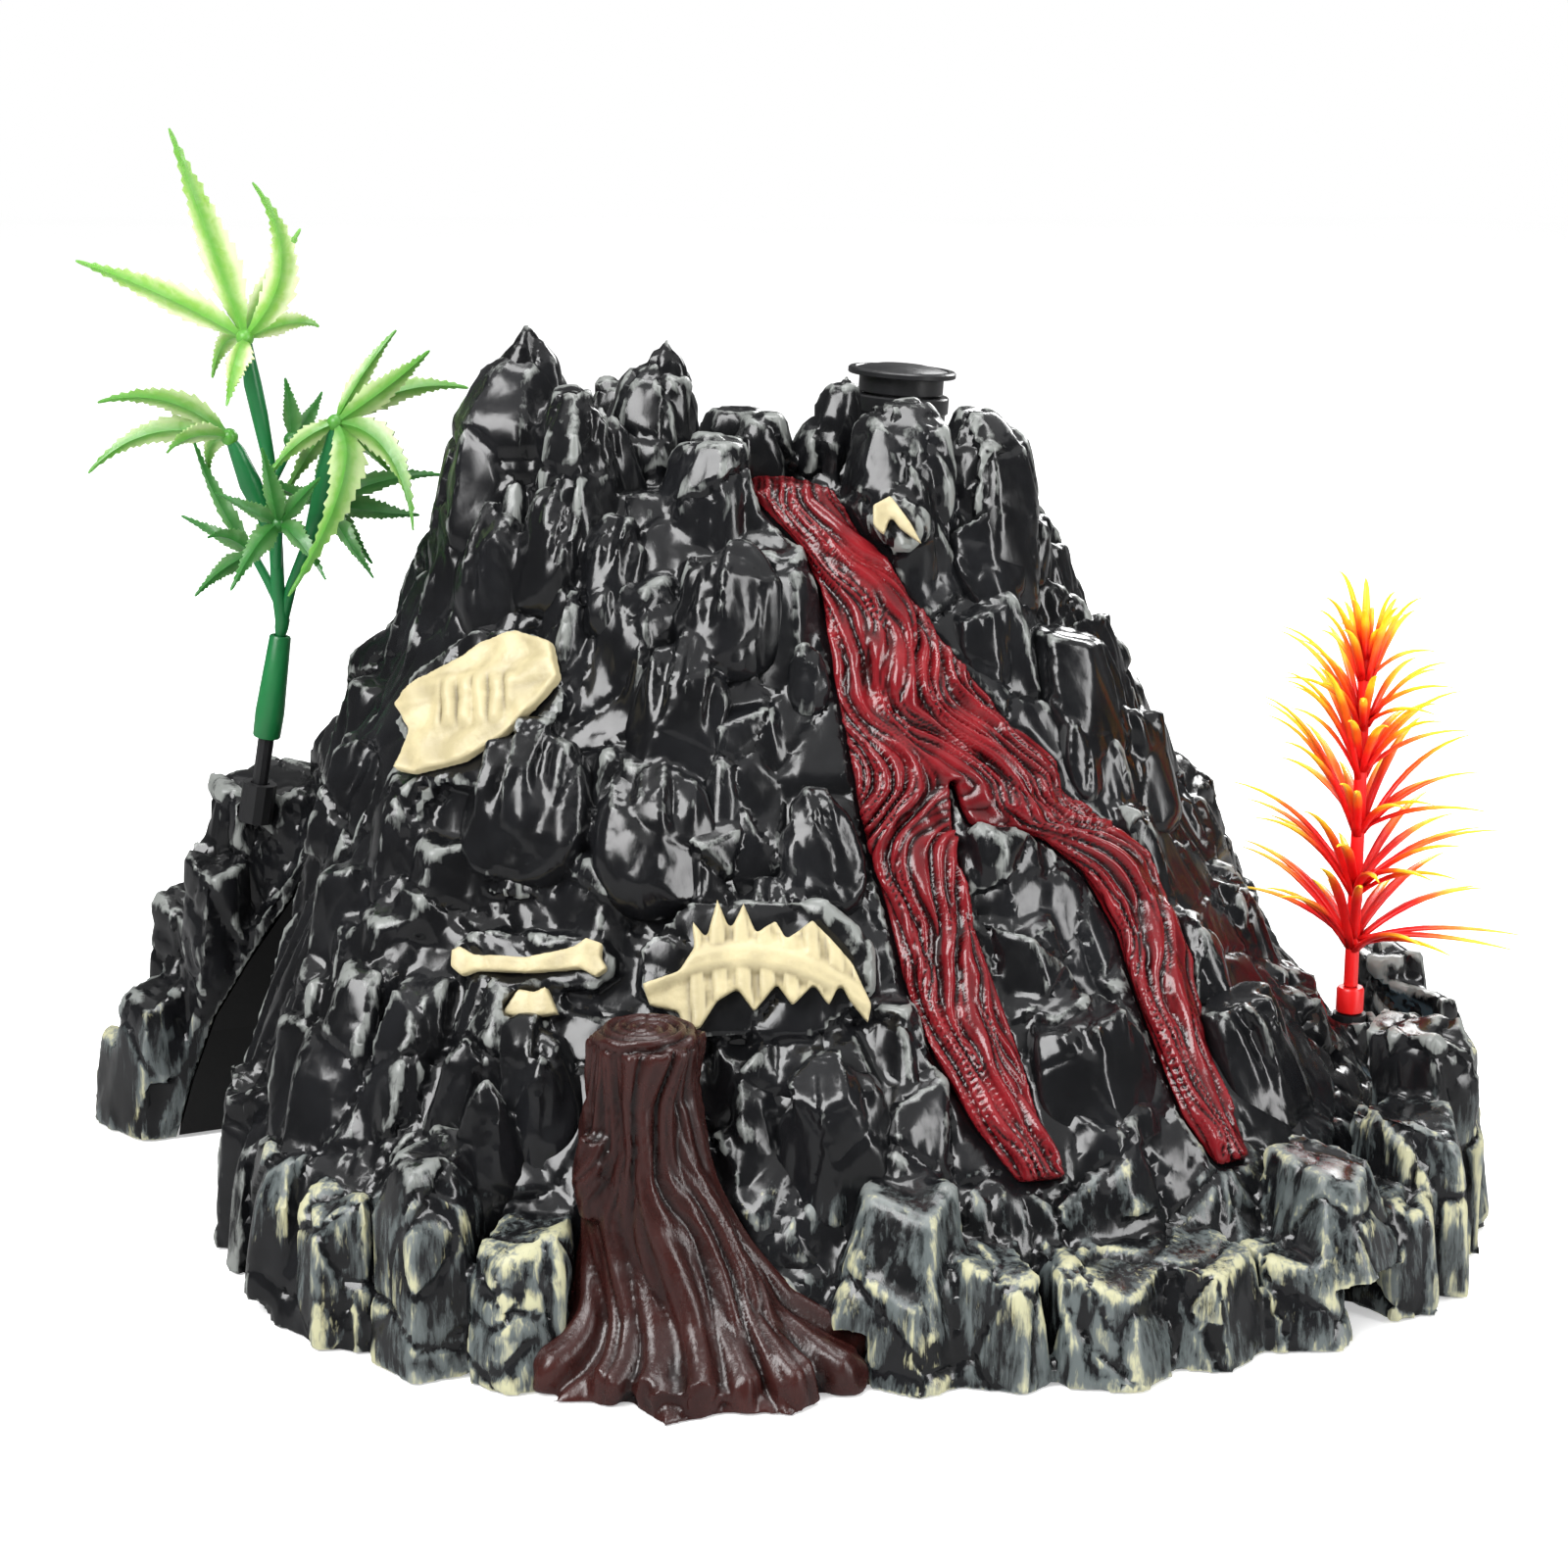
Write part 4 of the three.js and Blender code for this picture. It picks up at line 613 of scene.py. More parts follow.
def dress(piece, material):
    piece.data.materials.clear()
    piece.data.materials.append(material)
    return piece


def dress_node(node, material):
    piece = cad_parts[node]
    for slot in piece.material_slots:
        slot.material = material
    if not piece.material_slots:
        piece.data.materials.append(material)


# ------------------------------------------------------------------ rock
ROCK_NEIGHBOURS = [
    "lava_stream", "tree_stump", "fossil_slab", "fossil_skeleton", "fossil_long_bone", "fossil_bone_chip",
    "fossil_claw", "cave_liner", "pool_water", "base_plate", "crater_stack", "inlet_grommet", "green_socket",
    "red_socket", "green_peg", "red_peg",
]


def neighbour_tree():
    points, faces = [], []
    for node in ROCK_NEIGHBOURS:
        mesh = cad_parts[node].data
        start = len(points)
        points += [v.co.copy() for v in mesh.vertices]
        faces += [[start + k for k in p.vertices] for p in mesh.polygons]
    return BVHTree.FromPolygons(points, faces)


def core_reach(x, y, z):
    """How far out each point stands, 1 on the core's skin, and the core's smaller half size there."""
    rx, ry, cx, cy = core_at(z)
    return np.abs((x - cx) / rx) ** SQUARE + np.abs((y - cy) / ry) ** SQUARE, np.minimum(rx, ry)


def core_depth(x, y, z):
    """Distance outside the core's skin in mm, below 0 inside it."""
    reach, half = core_reach(x, y, z)
    return (reach ** (1 / SQUARE) - 1) * half


def outer_share(points):
    """1 on the rock's outside, 0 on the inner wall of the shell."""
    x, y, z = (points / MM).T
    depth = core_depth(x, y, z)
    cave_dent = np.clip(1 - z / 70, 0, 1) * 22 * np.exp(-(((x + 104) / 22) ** 2) - (((y + 50) / 34) ** 2))
    stump_dent = np.clip(1.6 - z / 60, 0, 1) * 16 * np.exp(-(((x + 24) / 26) ** 2) - (((y + 78) / 20) ** 2))
    side = ramp(-2.9, -1.9, depth + cave_dent + stump_dent)
    return np.maximum(side, ramp(CORE_TOP - 2.4, CORE_TOP - 1.2, z))


def outside_core(points):
    """1 where a stone shows outside the core, 0 where it is sunk in it."""
    return ramp(-2.5, -1.5, core_depth(*(points / MM).T))


def skin_at(turn, z):
    """Point of the core's skin in the direction of turn, and the outward direction there, in mm."""
    rx, ry, cx, cy = core_at(z)
    c, s = math.cos(turn), math.sin(turn)
    point = Vector((cx + rx * math.copysign(abs(c) ** (2 / SQUARE), c),
                    cy + ry * math.copysign(abs(s) ** (2 / SQUARE), s), z))
    out = Vector((c / rx, s / ry, 0)).normalized()
    return point, out


def base_stone():
    """One upright stone: a ball drawn out into a column with a blunt head."""
    bpy.ops.object.select_all(action="DESELECT")
    bpy.ops.mesh.primitive_ico_sphere_add(subdivisions=5, radius=1)
    stone = bpy.context.view_layer.objects.active
    stone.name = stone.data.name = "stone"
    points = points_of(stone)
    for axis, power in ((0, 0.78), (1, 0.78), (2, 0.7)):
        points[:, axis] = np.sign(points[:, axis]) * np.abs(points[:, axis]) ** power
    girth = np.interp((points[:, 2] + 1) / 2, [0, 0.4, 0.75, 1], [1.0, 1.04, 0.86, 0.5])
    points[:, 0] *= girth
    points[:, 1] *= girth
    set_points(stone, points)
    return stone


def hewn(points, dice):
    """Unit stone with facets struck off its front and head, and a few upright grooves worn in from the top."""
    for number in range(6):
        up = dice.uniform(0.7, 1.6) if number > 4 else dice.normal(0.12, 0.16)
        away = np.array([dice.uniform(-1.1, 1.1), -1.0, up])
        away /= np.linalg.norm(away)
        over = points @ away - dice.uniform(0.72, 0.88)
        points = points - np.outer(np.maximum(over, 0), away) * 0.92
    reach = np.linalg.norm(points[:, :2], axis=1, keepdims=True) + 1e-6
    out = np.hstack([points[:, :2] / reach, np.zeros((len(points), 1))])
    for _ in range(dice.integers(2, 5)):
        centre, drift, low = dice.uniform(-0.8, 0.8), dice.uniform(-0.12, 0.12), dice.uniform(-0.5, 0.35)
        off = points[:, 0] - centre - drift * np.sin(3.1 * points[:, 2])
        worn = np.exp(-((off / 0.1) ** 2)) - 0.45 * np.exp(-(((np.abs(off) - 0.22) / 0.08) ** 2))
        deep = np.minimum(0.19 * worn * ramp(low, low + 0.5, points[:, 2]), 0.45 * reach[:, 0])
        points = points - out * deep[:, None]
    return points


def clear_of(near, spots, room):
    """True when none of these points stands closer than room to a neighbouring piece."""
    return min(near.find_nearest(Vector(p * MM))[3] for p in spots) > room


def clone(piece, points):
    """Copy of a piece with a mesh of its own, its points put where they are given."""
    copy = piece.copy()
    copy.data = piece.data.copy()
    bpy.context.scene.collection.objects.link(copy)
    set_points(copy, points)
    return copy


STONE_PITCH = 0.84  # spacing along a row as a share of the row's stone width
STONE_DEPTH = 0.4  # half depth of a stone as a share of its width
STONE_SIZES = (1.0, 0.8, 0.64, 0.5, 0.4)  # tried in turn until the stone stands clear
TESTED = 23  # one point in this many is tested for room
FLANK_ROOM = 0.9 * MM
CREST_ROOM = 0.35 * MM
FLAT_HEADS = 28  # stones further right than this many mm have flat heads
REAR = 12  # stones further back than this many mm go in the rear piece


def standing_stones(near):
    """Meshes of the stones that stand on the flanks clear of the lava, the fossils, the cave and the pool."""
    stone = base_stone()
    unit = points_of(stone)
    front, back = [], []
    dice = np.random.default_rng(STONE_SEED)
    for row, (foot, tall, wide) in enumerate(STONE_ROWS):
        rx, ry, _, _ = core_at(foot + tall / 2)
        count = int(math.pi * (rx + ry) / (wide * STONE_PITCH))
        for k in range(count):
            turn = 2 * math.pi * (k + 0.5 * (row % 2) + dice.uniform(-0.2, 0.2)) / count
            h, w = tall * dice.uniform(0.8, 1.15), wide * dice.uniform(0.8, 1.2)
            proud, z = dice.uniform(1.6, 5.2), foot + h / 2 + dice.uniform(-6, 6)
            shape = hewn(unit, dice)
            middle, out = skin_at(turn, z)
            if middle.x > FLAT_HEADS:
                flat = dice.uniform(0.35, 0.7)
                flat = flat + shape @ np.array([dice.uniform(-0.2, 0.2), dice.uniform(-0.1, 0.3), 0])
                shape[:, 2] = np.minimum(shape[:, 2], flat)
            lean, roll = math.radians(dice.uniform(8, 19)), math.radians(dice.uniform(-9, 9))
            facing = Vector((0, -1, 0)).rotation_difference(out).to_matrix()
            tip = Matrix.Rotation(-lean, 3, "X") @ Matrix.Rotation(roll, 3, "Y")
            for size in STONE_SIZES:
                deep = STONE_DEPTH * w * size
                centre = np.array(middle + out * (proud * size + 1.2 - deep * 0.6))
                body = shape * np.array([w * size / 2, deep, h * size / 2])
                spots = body @ np.array(facing @ tip).T + centre
                shown = spots[(spots - centre) @ np.array(out) > 0][::TESTED]
                heart = shown.mean(axis=0)
                if any(all(lo[i] < heart[i] < hi[i] for i in range(3)) for lo, hi in FREE_SPACE):
                    break
                if clear_of(near, shown, FLANK_ROOM):
                    (front if heart[1] < REAR else back).append(clone(stone, spots * MM))
                    break
    for x, y, foot, head, w, lean in CREST_STONES:
        shape = hewn(unit, dice)
        taper = 1 - 0.66 * ramp(-0.7, 1.05, shape[:, 2:3])
        shape = shape * np.hstack([taper, taper, np.ones_like(taper)])
        shape[:, 2] = 1 + np.where(shape[:, 2] > 0.45, 0.45 + 0.35 * (shape[:, 2] - 0.45), shape[:, 2])
        shape[:, 2] *= 2 / shape[:, 2].max()
        body = shape * np.array([w / 2, STONE_DEPTH * w, (head - foot) / 2])
        spots = body @ np.array(Matrix.Rotation(math.radians(lean), 3, "Y")).T + np.array([x, y, foot])
        if not clear_of(near, spots[::TESTED], CREST_ROOM):
            raise RuntimeError(f"the crest stone at {x}, {y} stands too close to its neighbours")
        front.append(clone(stone, spots * MM))
    bpy.data.objects.remove(stone)
    return front, back


def swell(x, y, z):
    return noise.noise(Vector((x, y, z)))


def folded(wave, steep, power, base):
    """Turns a smooth wave into rounded folds with sharp valleys between them."""
    return min(1.0, abs(wave) * steep) ** power - base


def flute_lift(points, look, share):
    """Height of the wax-like upright folds and the hewn facets over the rock, in metres."""
    lift = np.empty(len(points))
    for k, (x, y, z) in enumerate((points / MM).tolist()):
        bend = swell(x * 0.035, y * 0.035, z * 0.03)
        wave = swell(x * 0.15 + bend, y * 0.15 + bend, z * 0.026 + 2 * bend)
        small = swell(x * 0.36 + 9, y * 0.36, z * 0.06 + 3 * bend)
        patch = min(1.0, max(0.1, 0.45 + 1.2 * swell(x * 0.05, y * 0.05, z * 0.035 + 7)))
        spot = Vector((x / 15 + bend, y / 15 - bend, z / 24))
        reach, seeds = noise.voronoi(spot)
        facet = (spot - seeds[0]).dot(noise.cell_vector(seeds[0] * 9.17) - Vector((0.5, 0.5, 0.5))) * 3.0
        crease = min(1.0, (reach[1] - reach[0]) / 0.14)
        folds, rills = folded(wave, 3.2, 0.8, 0.55), folded(small, 3.0, 0.8, 0.5)
        lift[k] = ((0.4 + 0.45 * share) * look.furrow * patch * (1.2 * folds + 0.28 * rills)
                   + share * (look.facet * max(-1, min(1, facet)) - look.crease * (1 - crease) ** 2))
    return lift


def weather(rock, look, near, outside, share):
    """Works folds and facets into a rock mesh, marks its ridges and foot stones, and thins it."""
    points = relaxed(rock, points_of(rock), 1, 0.4)
    set_points(rock, points)
    room = np.array([near.find_nearest(Vector(p), 2.2 * MM)[3] or 2.2 * MM for p in points])
    free = ramp(0.35 * MM, 1.6 * MM, room) * outside
    steps = np.zeros(len(points))
    moved = np.where(free > 0)[0]
    steps[moved] = flute_lift(points[moved], look, share)
    shift = normals_of(rock) * (steps * free)[:, None]
    shift[:, 2] *= ramp(0.4 * MM, 4 * MM, points[:, 2])
    points = points + shift
    points[:, 2] = np.maximum(points[:, 2], 0)
    set_points(rock, points)
    wide = relaxed(rock, points, 5, 0.6)
    bulge = ((points - wide) * normals_of(rock)).sum(axis=1) / (0.34 * MM)
    upward = np.clip(normals_of(rock)[:, 2], 0, 1)
    set_mark(rock, "ridge", np.clip(bulge, -0.5, 1.1) + 0.15 * upward)
    x, y, z = (points / MM).T
    reach, _ = core_reach(x, y, z)
    ring = ramp(0.9, 1.04, reach) * (1 - ramp(22, 44, z)) * ramp(60, -20, y)
    left_steps = ramp(104, 112, -x) * (1 - ramp(18, 45, z)) * 0.9
    set_mark(rock, "foot", np.clip(np.maximum(ring, left_steps), 0, 1))
    hidden = rock.vertex_groups.new(name="hidden")
    hidden.add([int(k) for k in np.where(outside < 0.5)[0]], 1.0, "REPLACE")
    inner = float((outside < 0.5).mean())
    share = look.keep / triangles_of(rock)
    if share < 1:
        finish_modifier(rock, "DECIMATE", ratio=max(share, 1 - 0.88 * inner), vertex_group="hidden")
    rock.vertex_groups.clear()
    share = look.keep / triangles_of(rock)
    if share < 1:
        finish_modifier(rock, "DECIMATE", ratio=share)
    smooth_shading(rock, 42)
    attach(rock, "ornament")


def rock_material(look):
    paint = Paint("rock_gloss_black")
    ridge, foot = paint.mark("ridge"), paint.mark("foot")
    half_ridge = paint.calc("MULTIPLY", ridge, 0.5)
    silver = paint.group(rub_group(), Ridge=ridge, Amount=0.42, Streak_Scale=700.0, Upright_Stretch=0.14,
                         Patch_Scale=42.0, Sharpness=2.4)
    wash = paint.group(rub_group(), Ridge=half_ridge, Amount=paint.calc("MULTIPLY", foot, 1.12),
                       Streak_Scale=820.0, Upright_Stretch=0.14, Patch_Scale=60.0, Sharpness=2.6)
    cream_amount = paint.calc("ADD", paint.calc("MULTIPLY", foot, 0.98), -0.16)
    cream = paint.group(rub_group(), Ridge=half_ridge, Amount=cream_amount, Streak_Scale=1050.0,
                        Upright_Stretch=0.12, Patch_Scale=95.0, Sharpness=3.2)
    drift = paint.noise(70.0, 4.0)
    black = paint.mix(paint.window(drift, 0.35, 0.75), look.black, tinted(look.black, 2.2))
    silver_share = paint.calc("MULTIPLY", silver.outputs["Mask"], 0.5)
    wash_share = paint.calc("MULTIPLY", paint.calc("MULTIPLY", wash.outputs["Mask"], foot), 0.66)
    cream_share = paint.calc("MULTIPLY", cream.outputs["Mask"], 0.74)
    tone = paint.mix(silver_share, black, look.silver)
    tone = paint.mix(wash_share, tone, look.wash)
    paint.feed(paint.shader, "Base Color", paint.mix(cream_share, tone, look.cream))
    worn = paint.calc("ADD", paint.calc("ADD", silver_share, wash_share), cream_share, clamp=True)
    rough = paint.window(paint.noise(300.0, 3.0), 0.2, 0.8, 0.13, 0.24)
    rough = paint.calc("ADD", paint.calc("MULTIPLY", worn, 0.3), rough, clamp=True)
    paint.feed(paint.shader, "Roughness", rough)
    fine = paint.noise(520.0, 4.0, 0.6, (1, 1, 0.25), 0.4)
    thick = paint.calc("ADD", paint.calc("MULTIPLY", worn, 0.2), paint.calc("MULTIPLY", fine, 0.3))
    paint.bump(thick, 0.0003, 0.4)
    return paint.material


class ORNAMENT_OT_rock(bpy.types.Operator):
    """Rebuilds the rock shell with hewn facets, creases and furrows, and rubs paint on its ridges"""

    bl_idname = "ornament.rock"
    bl_label = "Rock"

    def execute(self, context):
        look = context.scene.ornament_rock
        near = neighbour_tree()
        front, back = standing_stones(near)
        finish = rock_material(look)
        rock = merged_copy("rock_shell", "rock")
        points = points_of(rock)
        over = np.maximum(points[:, 2] - HORN_START * MM, 0)
        points[:, 2] -= HORN_CUT * over
        set_points(rock, points)
        for piece, name, grid in ((rock, "rock", look.grid), (front, "flank_stones", 0.72 * look.grid),
                                  (back, "rear_stones", 1.15 * look.grid)):
            piece = piece if piece is rock else join(piece, name)
            remesh(piece, grid)
            points = points_of(piece)
            outside = outer_share(points) if piece is rock else outside_core(points)
            weather(piece, look, near, outside, 1.0 if piece is rock else 0.3)
            dress(piece, finish)
        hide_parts("rock_shell")
        return {"FINISHED"}


# ------------------------------------------------------------------ lava
def across(levels, z):
    heights = [row[0] for row in reversed(levels)]
    middle = np.interp(z, heights, [row[1] for row in reversed(levels)])
    width = np.interp(z, heights, [row[2] for row in reversed(levels)])
    return float(middle), float(width)


def flow_lift(points, look):
    """Height of the lava's ropes and swirls over its bed, in metres."""
    lift = np.empty(len(points))
    for k, (x, _, z) in enumerate((points / MM).tolist()):
        branches = [across(LAVA_LEFT, z)[0], across(LAVA_RIGHT, z)[0]]
        pull = [math.exp(-(((x - m) / 9) ** 2)) + 1e-6 for m in branches]
        branch = (branches[0] * pull[0] + branches[1] * pull[1]) / sum(pull)
        low = float(ramp(96, 72, z))
        u = x - across(LAVA_MAIN, z)[0] * (1 - low) - branch * low
        sweep = 0.75 * (z - 96) * math.exp(-(((z - 95) / 9) ** 2))
        u += sweep + 4.5 * swell(u * 0.07, z * 0.05, 1) + 1.2 * swell(u * 0.25, z * 0.14, 5)
        rope, thread = swell(u * 0.3, z * 0.03, 3), swell(u * 0.75 + 20, z * 0.06, 9)
        lift[k] = look.rope * folded(rope, 3.4, 0.7, 0.5) + 0.45 * look.rope * folded(thread, 3.0, 0.8, 0.5)
    return lift


def mark_ridges(piece, turns, depth):
    """Marks how far each point stands out of its surroundings, in shares of depth."""
    points = points_of(piece)
    wide = relaxed(piece, points, turns, 0.6)
    bulge = ((points - wide) * normals_of(piece)).sum(axis=1) / depth
    set_mark(piece, "ridge", np.clip(bulge, -1, 1))


class ORNAMENT_OT_lava(bpy.types.Operator):
    """Works ropes and swirls into the lava stream and gives it a wet red gloss"""

    bl_idname = "ornament.lava"
    bl_label = "Lava stream"

    def execute(self, context):
        look = context.scene.ornament_lava
        lava = merged_copy("lava_stream", "lava")
        remesh(lava, look.grid)
        points = relaxed(lava, points_of(lava), 12, 0.5)
        set_points(lava, points)
        normals = normals_of(lava)
        facing = np.clip(normals @ np.array(Vector((0.1, -0.85, 0.5)).normalized()) * 1.6 - 0.25, 0, 1)
        shown = np.where(facing > 0)[0]
        steps = np.zeros(len(points))
        steps[shown] = flow_lift(points[shown], look)
        points = points + normals * (steps * facing)[:, None]
        set_points(lava, points)
        mark_ridges(lava, 5, 0.32 * MM)
        thin(lava, LAVA_TRIANGLES)
        smooth_shading(lava)
        paint = Paint("lava_gloss_red")
        ridge = paint.window(paint.mark("ridge"), -0.55, 0.65)
        # Painted shade: the grooves between the ropes are darkened to near black red, and the ropes keep the lava red.
        deep = tinted(look.red, 0.08)
        bright = [look.red[0] * 1.5, look.red[1] * 1.8, look.red[2] * 1.6, 1]
        tone = paint.mix(ridge, deep, look.red)
        patches = paint.window(paint.noise(90.0, 3.0), 0.5, 0.8)
        paint.feed(paint.shader, "Base Color", paint.mix(patches, tone, bright))
        paint.feed(paint.shader, "Roughness", paint.window(paint.noise(500.0, 3.0), 0.2, 0.8, 0.14, 0.27))
        paint.bump(paint.noise(700.0, 4.0, 0.6, (1, 1, 0.3)), 0.0002, 0.5)
        dress(lava, paint.material)
        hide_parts("lava_stream")
        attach(lava, "ornament")
        return {"FINISHED"}


# ------------------------------------------------------------------ stump
def stump_at(z):
    heights = [row[0] for row in STUMP]
    return [float(np.interp(z, heights, [row[k] for row in STUMP])) for k in (1, 2, 3, 4)]


# Roots: direction from the front, reach as a share of the foot, thickness
ROOTS = [
    (-1.38, 1.1, 4.6), (-1.08, 1.2, 4.4), (-0.66, 1.06, 4.0), (-0.32, 1.02, 3.8), (0.02, 1.12, 4.2),
    (0.36, 1.0, 3.8), (0.72, 1.1, 4.4), (1.04, 1.24, 4.8), (1.32, 1.2, 5.0),
]


def root_run(turn, reach, thick):
    """One root from high on the trunk, down and out to the floor."""
    run = []
    for k in range(25):
        s = k / 24
        z = 44 * (1 - s) ** 2.1 + thick * 0.6 * s
        x, y, rx, ry = stump_at(z)
        lean = 0.16 * math.sin(4 * s + 3 * turn) * (1 - s)
        stretch = 0.62 + (reach - 0.62) * s ** 1.3
        spot = Vector((x + rx * stretch * math.sin(turn + lean), y - ry * stretch * math.cos(turn + lean), z))
        run.append((spot, thick * (0.62 + 0.4 * s) * (1 - 0.4 * float(ramp(0.86, 1, s)))))
    return run


def bark_lift(points, look):
    """Height of the bark's sinuous upright folds, in metres."""
    lift = np.empty(len(points))
    for k, (px, py, pz) in enumerate((points / MM).tolist()):
        x, y, rx, ry = stump_at(pz)
        turn = math.atan2((px - x) / rx, -(py - y) / ry)
        around = turn * 12 + 6.0 * swell(turn * 0.9, pz * 0.05, 2) + 1.5 * math.sin(pz * 0.17 + 2 * turn)
        fold, thread = swell(around * 0.17, pz * 0.016, 4), swell(around * 0.42 + 5, pz * 0.03, 8)
        swirl = math.hypot(px + 22.5, py + 86)
        if pz > 54.5 and swirl < 9:
            fold, thread = 0.22 * math.sin(swirl * 1.5 + 1.2 * turn), 0.1
        lift[k] = look.fold * folded(fold, 3.0, 0.8, 0.55) + 0.28 * look.fold * folded(thread, 3, 1, 0.5)
    return lift


class ORNAMENT_OT_stump(bpy.types.Operator):
    """Grows roots and sinuous bark folds on the stump and gives it a satin brown"""

    bl_idname = "ornament.stump"
    bl_label = "Tree stump"

    def execute(self, context):
        look = context.scene.ornament_stump
        trunk = merged_copy("tree_stump", "stump")
        points = points_of(trunk)
        for k, (x, y, z) in enumerate((points / MM).tolist()):
            middle, depth, _, _ = stump_at(z)
            slim = 1 - 0.17 * ramp(1, 8, z) + 0.05 * ramp(20, 50, z)
            points[k, :2] = (middle + (x - middle) * slim) * MM, (depth + (y - depth) * slim) * MM
        set_points(trunk, points)
        roots = tubes("stump_roots", [root_run(*row) for row in ROOTS], 3)
        knot = tubes("stump_knot", [
            [((-31.5, -93, 26), 2.2), ((-32, -93, 33), 3.2), ((-31, -92.5, 40), 2.6)],
            [((-19, -108, 2), 2.6), ((-19, -110.5, 3), 3.2), ((-19, -112.5, 2.6), 2.4)]], 3)
        stump = join([trunk, roots, knot], "stump")
        remesh(stump, look.grid)
        points = relaxed(stump, points_of(stump), 3, 0.5)
        set_points(stump, points)
        normals = normals_of(stump)
        front = np.clip(-normals[:, 1] * 1.5 + 0.9, 0, 1)
        steps = np.zeros(len(points))
        shown = np.where(front > 0)[0]
        steps[shown] = bark_lift(points[shown], look)
        shift = normals * (steps * front)[:, None]
        shift[:, 2] *= ramp(0.3 * MM, 3 * MM, points[:, 2])
        points = points + shift
        points[:, 2] = np.maximum(points[:, 2], 0)
        set_points(stump, points)
        mark_ridges(stump, 6, 0.4 * MM)
        thin(stump, STUMP_TRIANGLES)
        smooth_shading(stump)
        paint = Paint("bark_satin_brown")
        ridge = paint.window(paint.mark("ridge"), -0.8, 0.6)
        # Painted shade: the grooves between the bark's folds are darkened to a fifth of the brown.
        deep = tinted(look.brown, 0.2)
        high = tinted(look.brown, 1.5)
        tone = paint.mix(ridge, deep, look.brown)
        drift = paint.window(paint.noise(60.0, 4.0), 0.45, 0.8)
        paint.feed(paint.shader, "Base Color", paint.mix(drift, tone, high))
        paint.feed(paint.shader, "Roughness", paint.window(paint.noise(260.0, 4.0), 0.2, 0.8, 0.2, 0.34))
        paint.bump(paint.noise(420.0, 5.0, 0.65, (1, 1, 0.18)), 0.0004, 0.6)
        dress(stump, paint.material)
        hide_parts("tree_stump")
        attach(stump, "ornament")
        return {"FINISHED"}


# ------------------------------------------------------------------ fossils
FOSSIL_FACES = {
    "fossil_slab": ((-53.5, -36, 99.5), (-0.41, -0.745, 0.525)),
    "fossil_skeleton": ((-5, -69.5, 62), (0, -0.9, 0.436)),
    "fossil_long_bone": ((-43, -62.5, 60), (-0.2, -0.86, 0.47)),
    "fossil_bone_chip": ((-42.5, -65.5, 53.5), (-0.2, -0.86, 0.47)),
    "fossil_claw": ((20, -30, 131), (-0.1, -0.95, 0.3)),
}


def fossil_relief(node, a, b):
    """Carved height at a across and b up the plate, in mm."""
    if node == "fossil_slab":
        ribs = 0.8 * np.abs(np.sin(a * 0.95 + 0.3 * b)) * ramp(8.5, 5.5, np.abs(a))
        ribs = ribs * ramp(5.5, 3, np.abs(b - 0.15 * a))
        spine = 0.35 * ramp(3.2, 1.2, np.abs(b - 0.32 * a - 3.5))
        return ribs + spine + 0.25 * np.sin(0.8 * a + 1.7 * np.sin(0.5 * b))
    if node == "fossil_skeleton":
        spine = 1.2 * ramp(3.2, 0.8, np.abs(b - 1.2 + 0.018 * (a + 2) ** 2))
        ribs = np.abs(np.sin(0.8 * a + 0.06 * b))
        return np.maximum(spine - 0.2, 1.5 * ramp(0.25, 0.75, ribs) * ramp(-15, -10, a) - 1.1)
    return 0.25 * np.sin(0.9 * a)


class ORNAMENT_OT_fossils(bpy.types.Operator):
    """Rounds and carves the ivory fossils"""

    bl_idname = "ornament.fossils"
    bl_label = "Fossils"

    def execute(self, context):
        look = context.scene.ornament_bone
        paint = Paint("bone_ivory")
        hollow = paint.window(paint.mark("ridge"), -0.75, 0.3)
        # Painted shade: the hollows of the carving are darkened to a deep brown.
        hollow_shade = [look.ivory[0] * 0.3, look.ivory[1] * 0.27, look.ivory[2] * 0.2, 1]
        pale = [min(1, c * 1.18) for c in look.ivory[:3]] + [1]
        tone = paint.mix(hollow, hollow_shade, look.ivory)
        patches = paint.window(paint.noise(160.0, 4.0), 0.4, 0.7)
        paint.feed(paint.shader, "Base Color", paint.mix(patches, tone, pale))
        paint.feed(paint.shader, "Roughness", paint.window(paint.noise(300.0, 3.0), 0.2, 0.8, 0.36, 0.55))
        paint.bump(paint.noise(900.0, 4.0), 0.00022, 0.6)
        for node, (middle, face) in FOSSIL_FACES.items():
            piece = merged_copy(node, node.replace("fossil_", "bone_"))
            remesh(piece, look.grid)
            points = relaxed(piece, points_of(piece), 3, 0.5)
            out = Vector(face).normalized()
            right = Vector((-out.y, out.x, 0)).normalized()
            up = out.cross(right)
            local = points / MM - np.array(middle)
            a, b, c = local @ np.array(right), local @ np.array(up), local @ np.array(out)
            lift = fossil_relief(node, a, b) * ramp(1.2, 2.2, c)
            points = points + np.array(out) * (lift * MM)[:, None]
            points = relaxed(piece, points, 1, 0.3)
            set_points(piece, points)
            wide = relaxed(piece, points, 6, 0.6)
            bulge = ((points - wide) * normals_of(piece)).sum(axis=1) / (0.3 * MM)
            set_mark(piece, "ridge", np.clip(bulge, -1, 1))
            smooth_shading(piece)
            dress(piece, paint.material)
            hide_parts(node)
            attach(piece, "ornament")
        return {"FINISHED"}


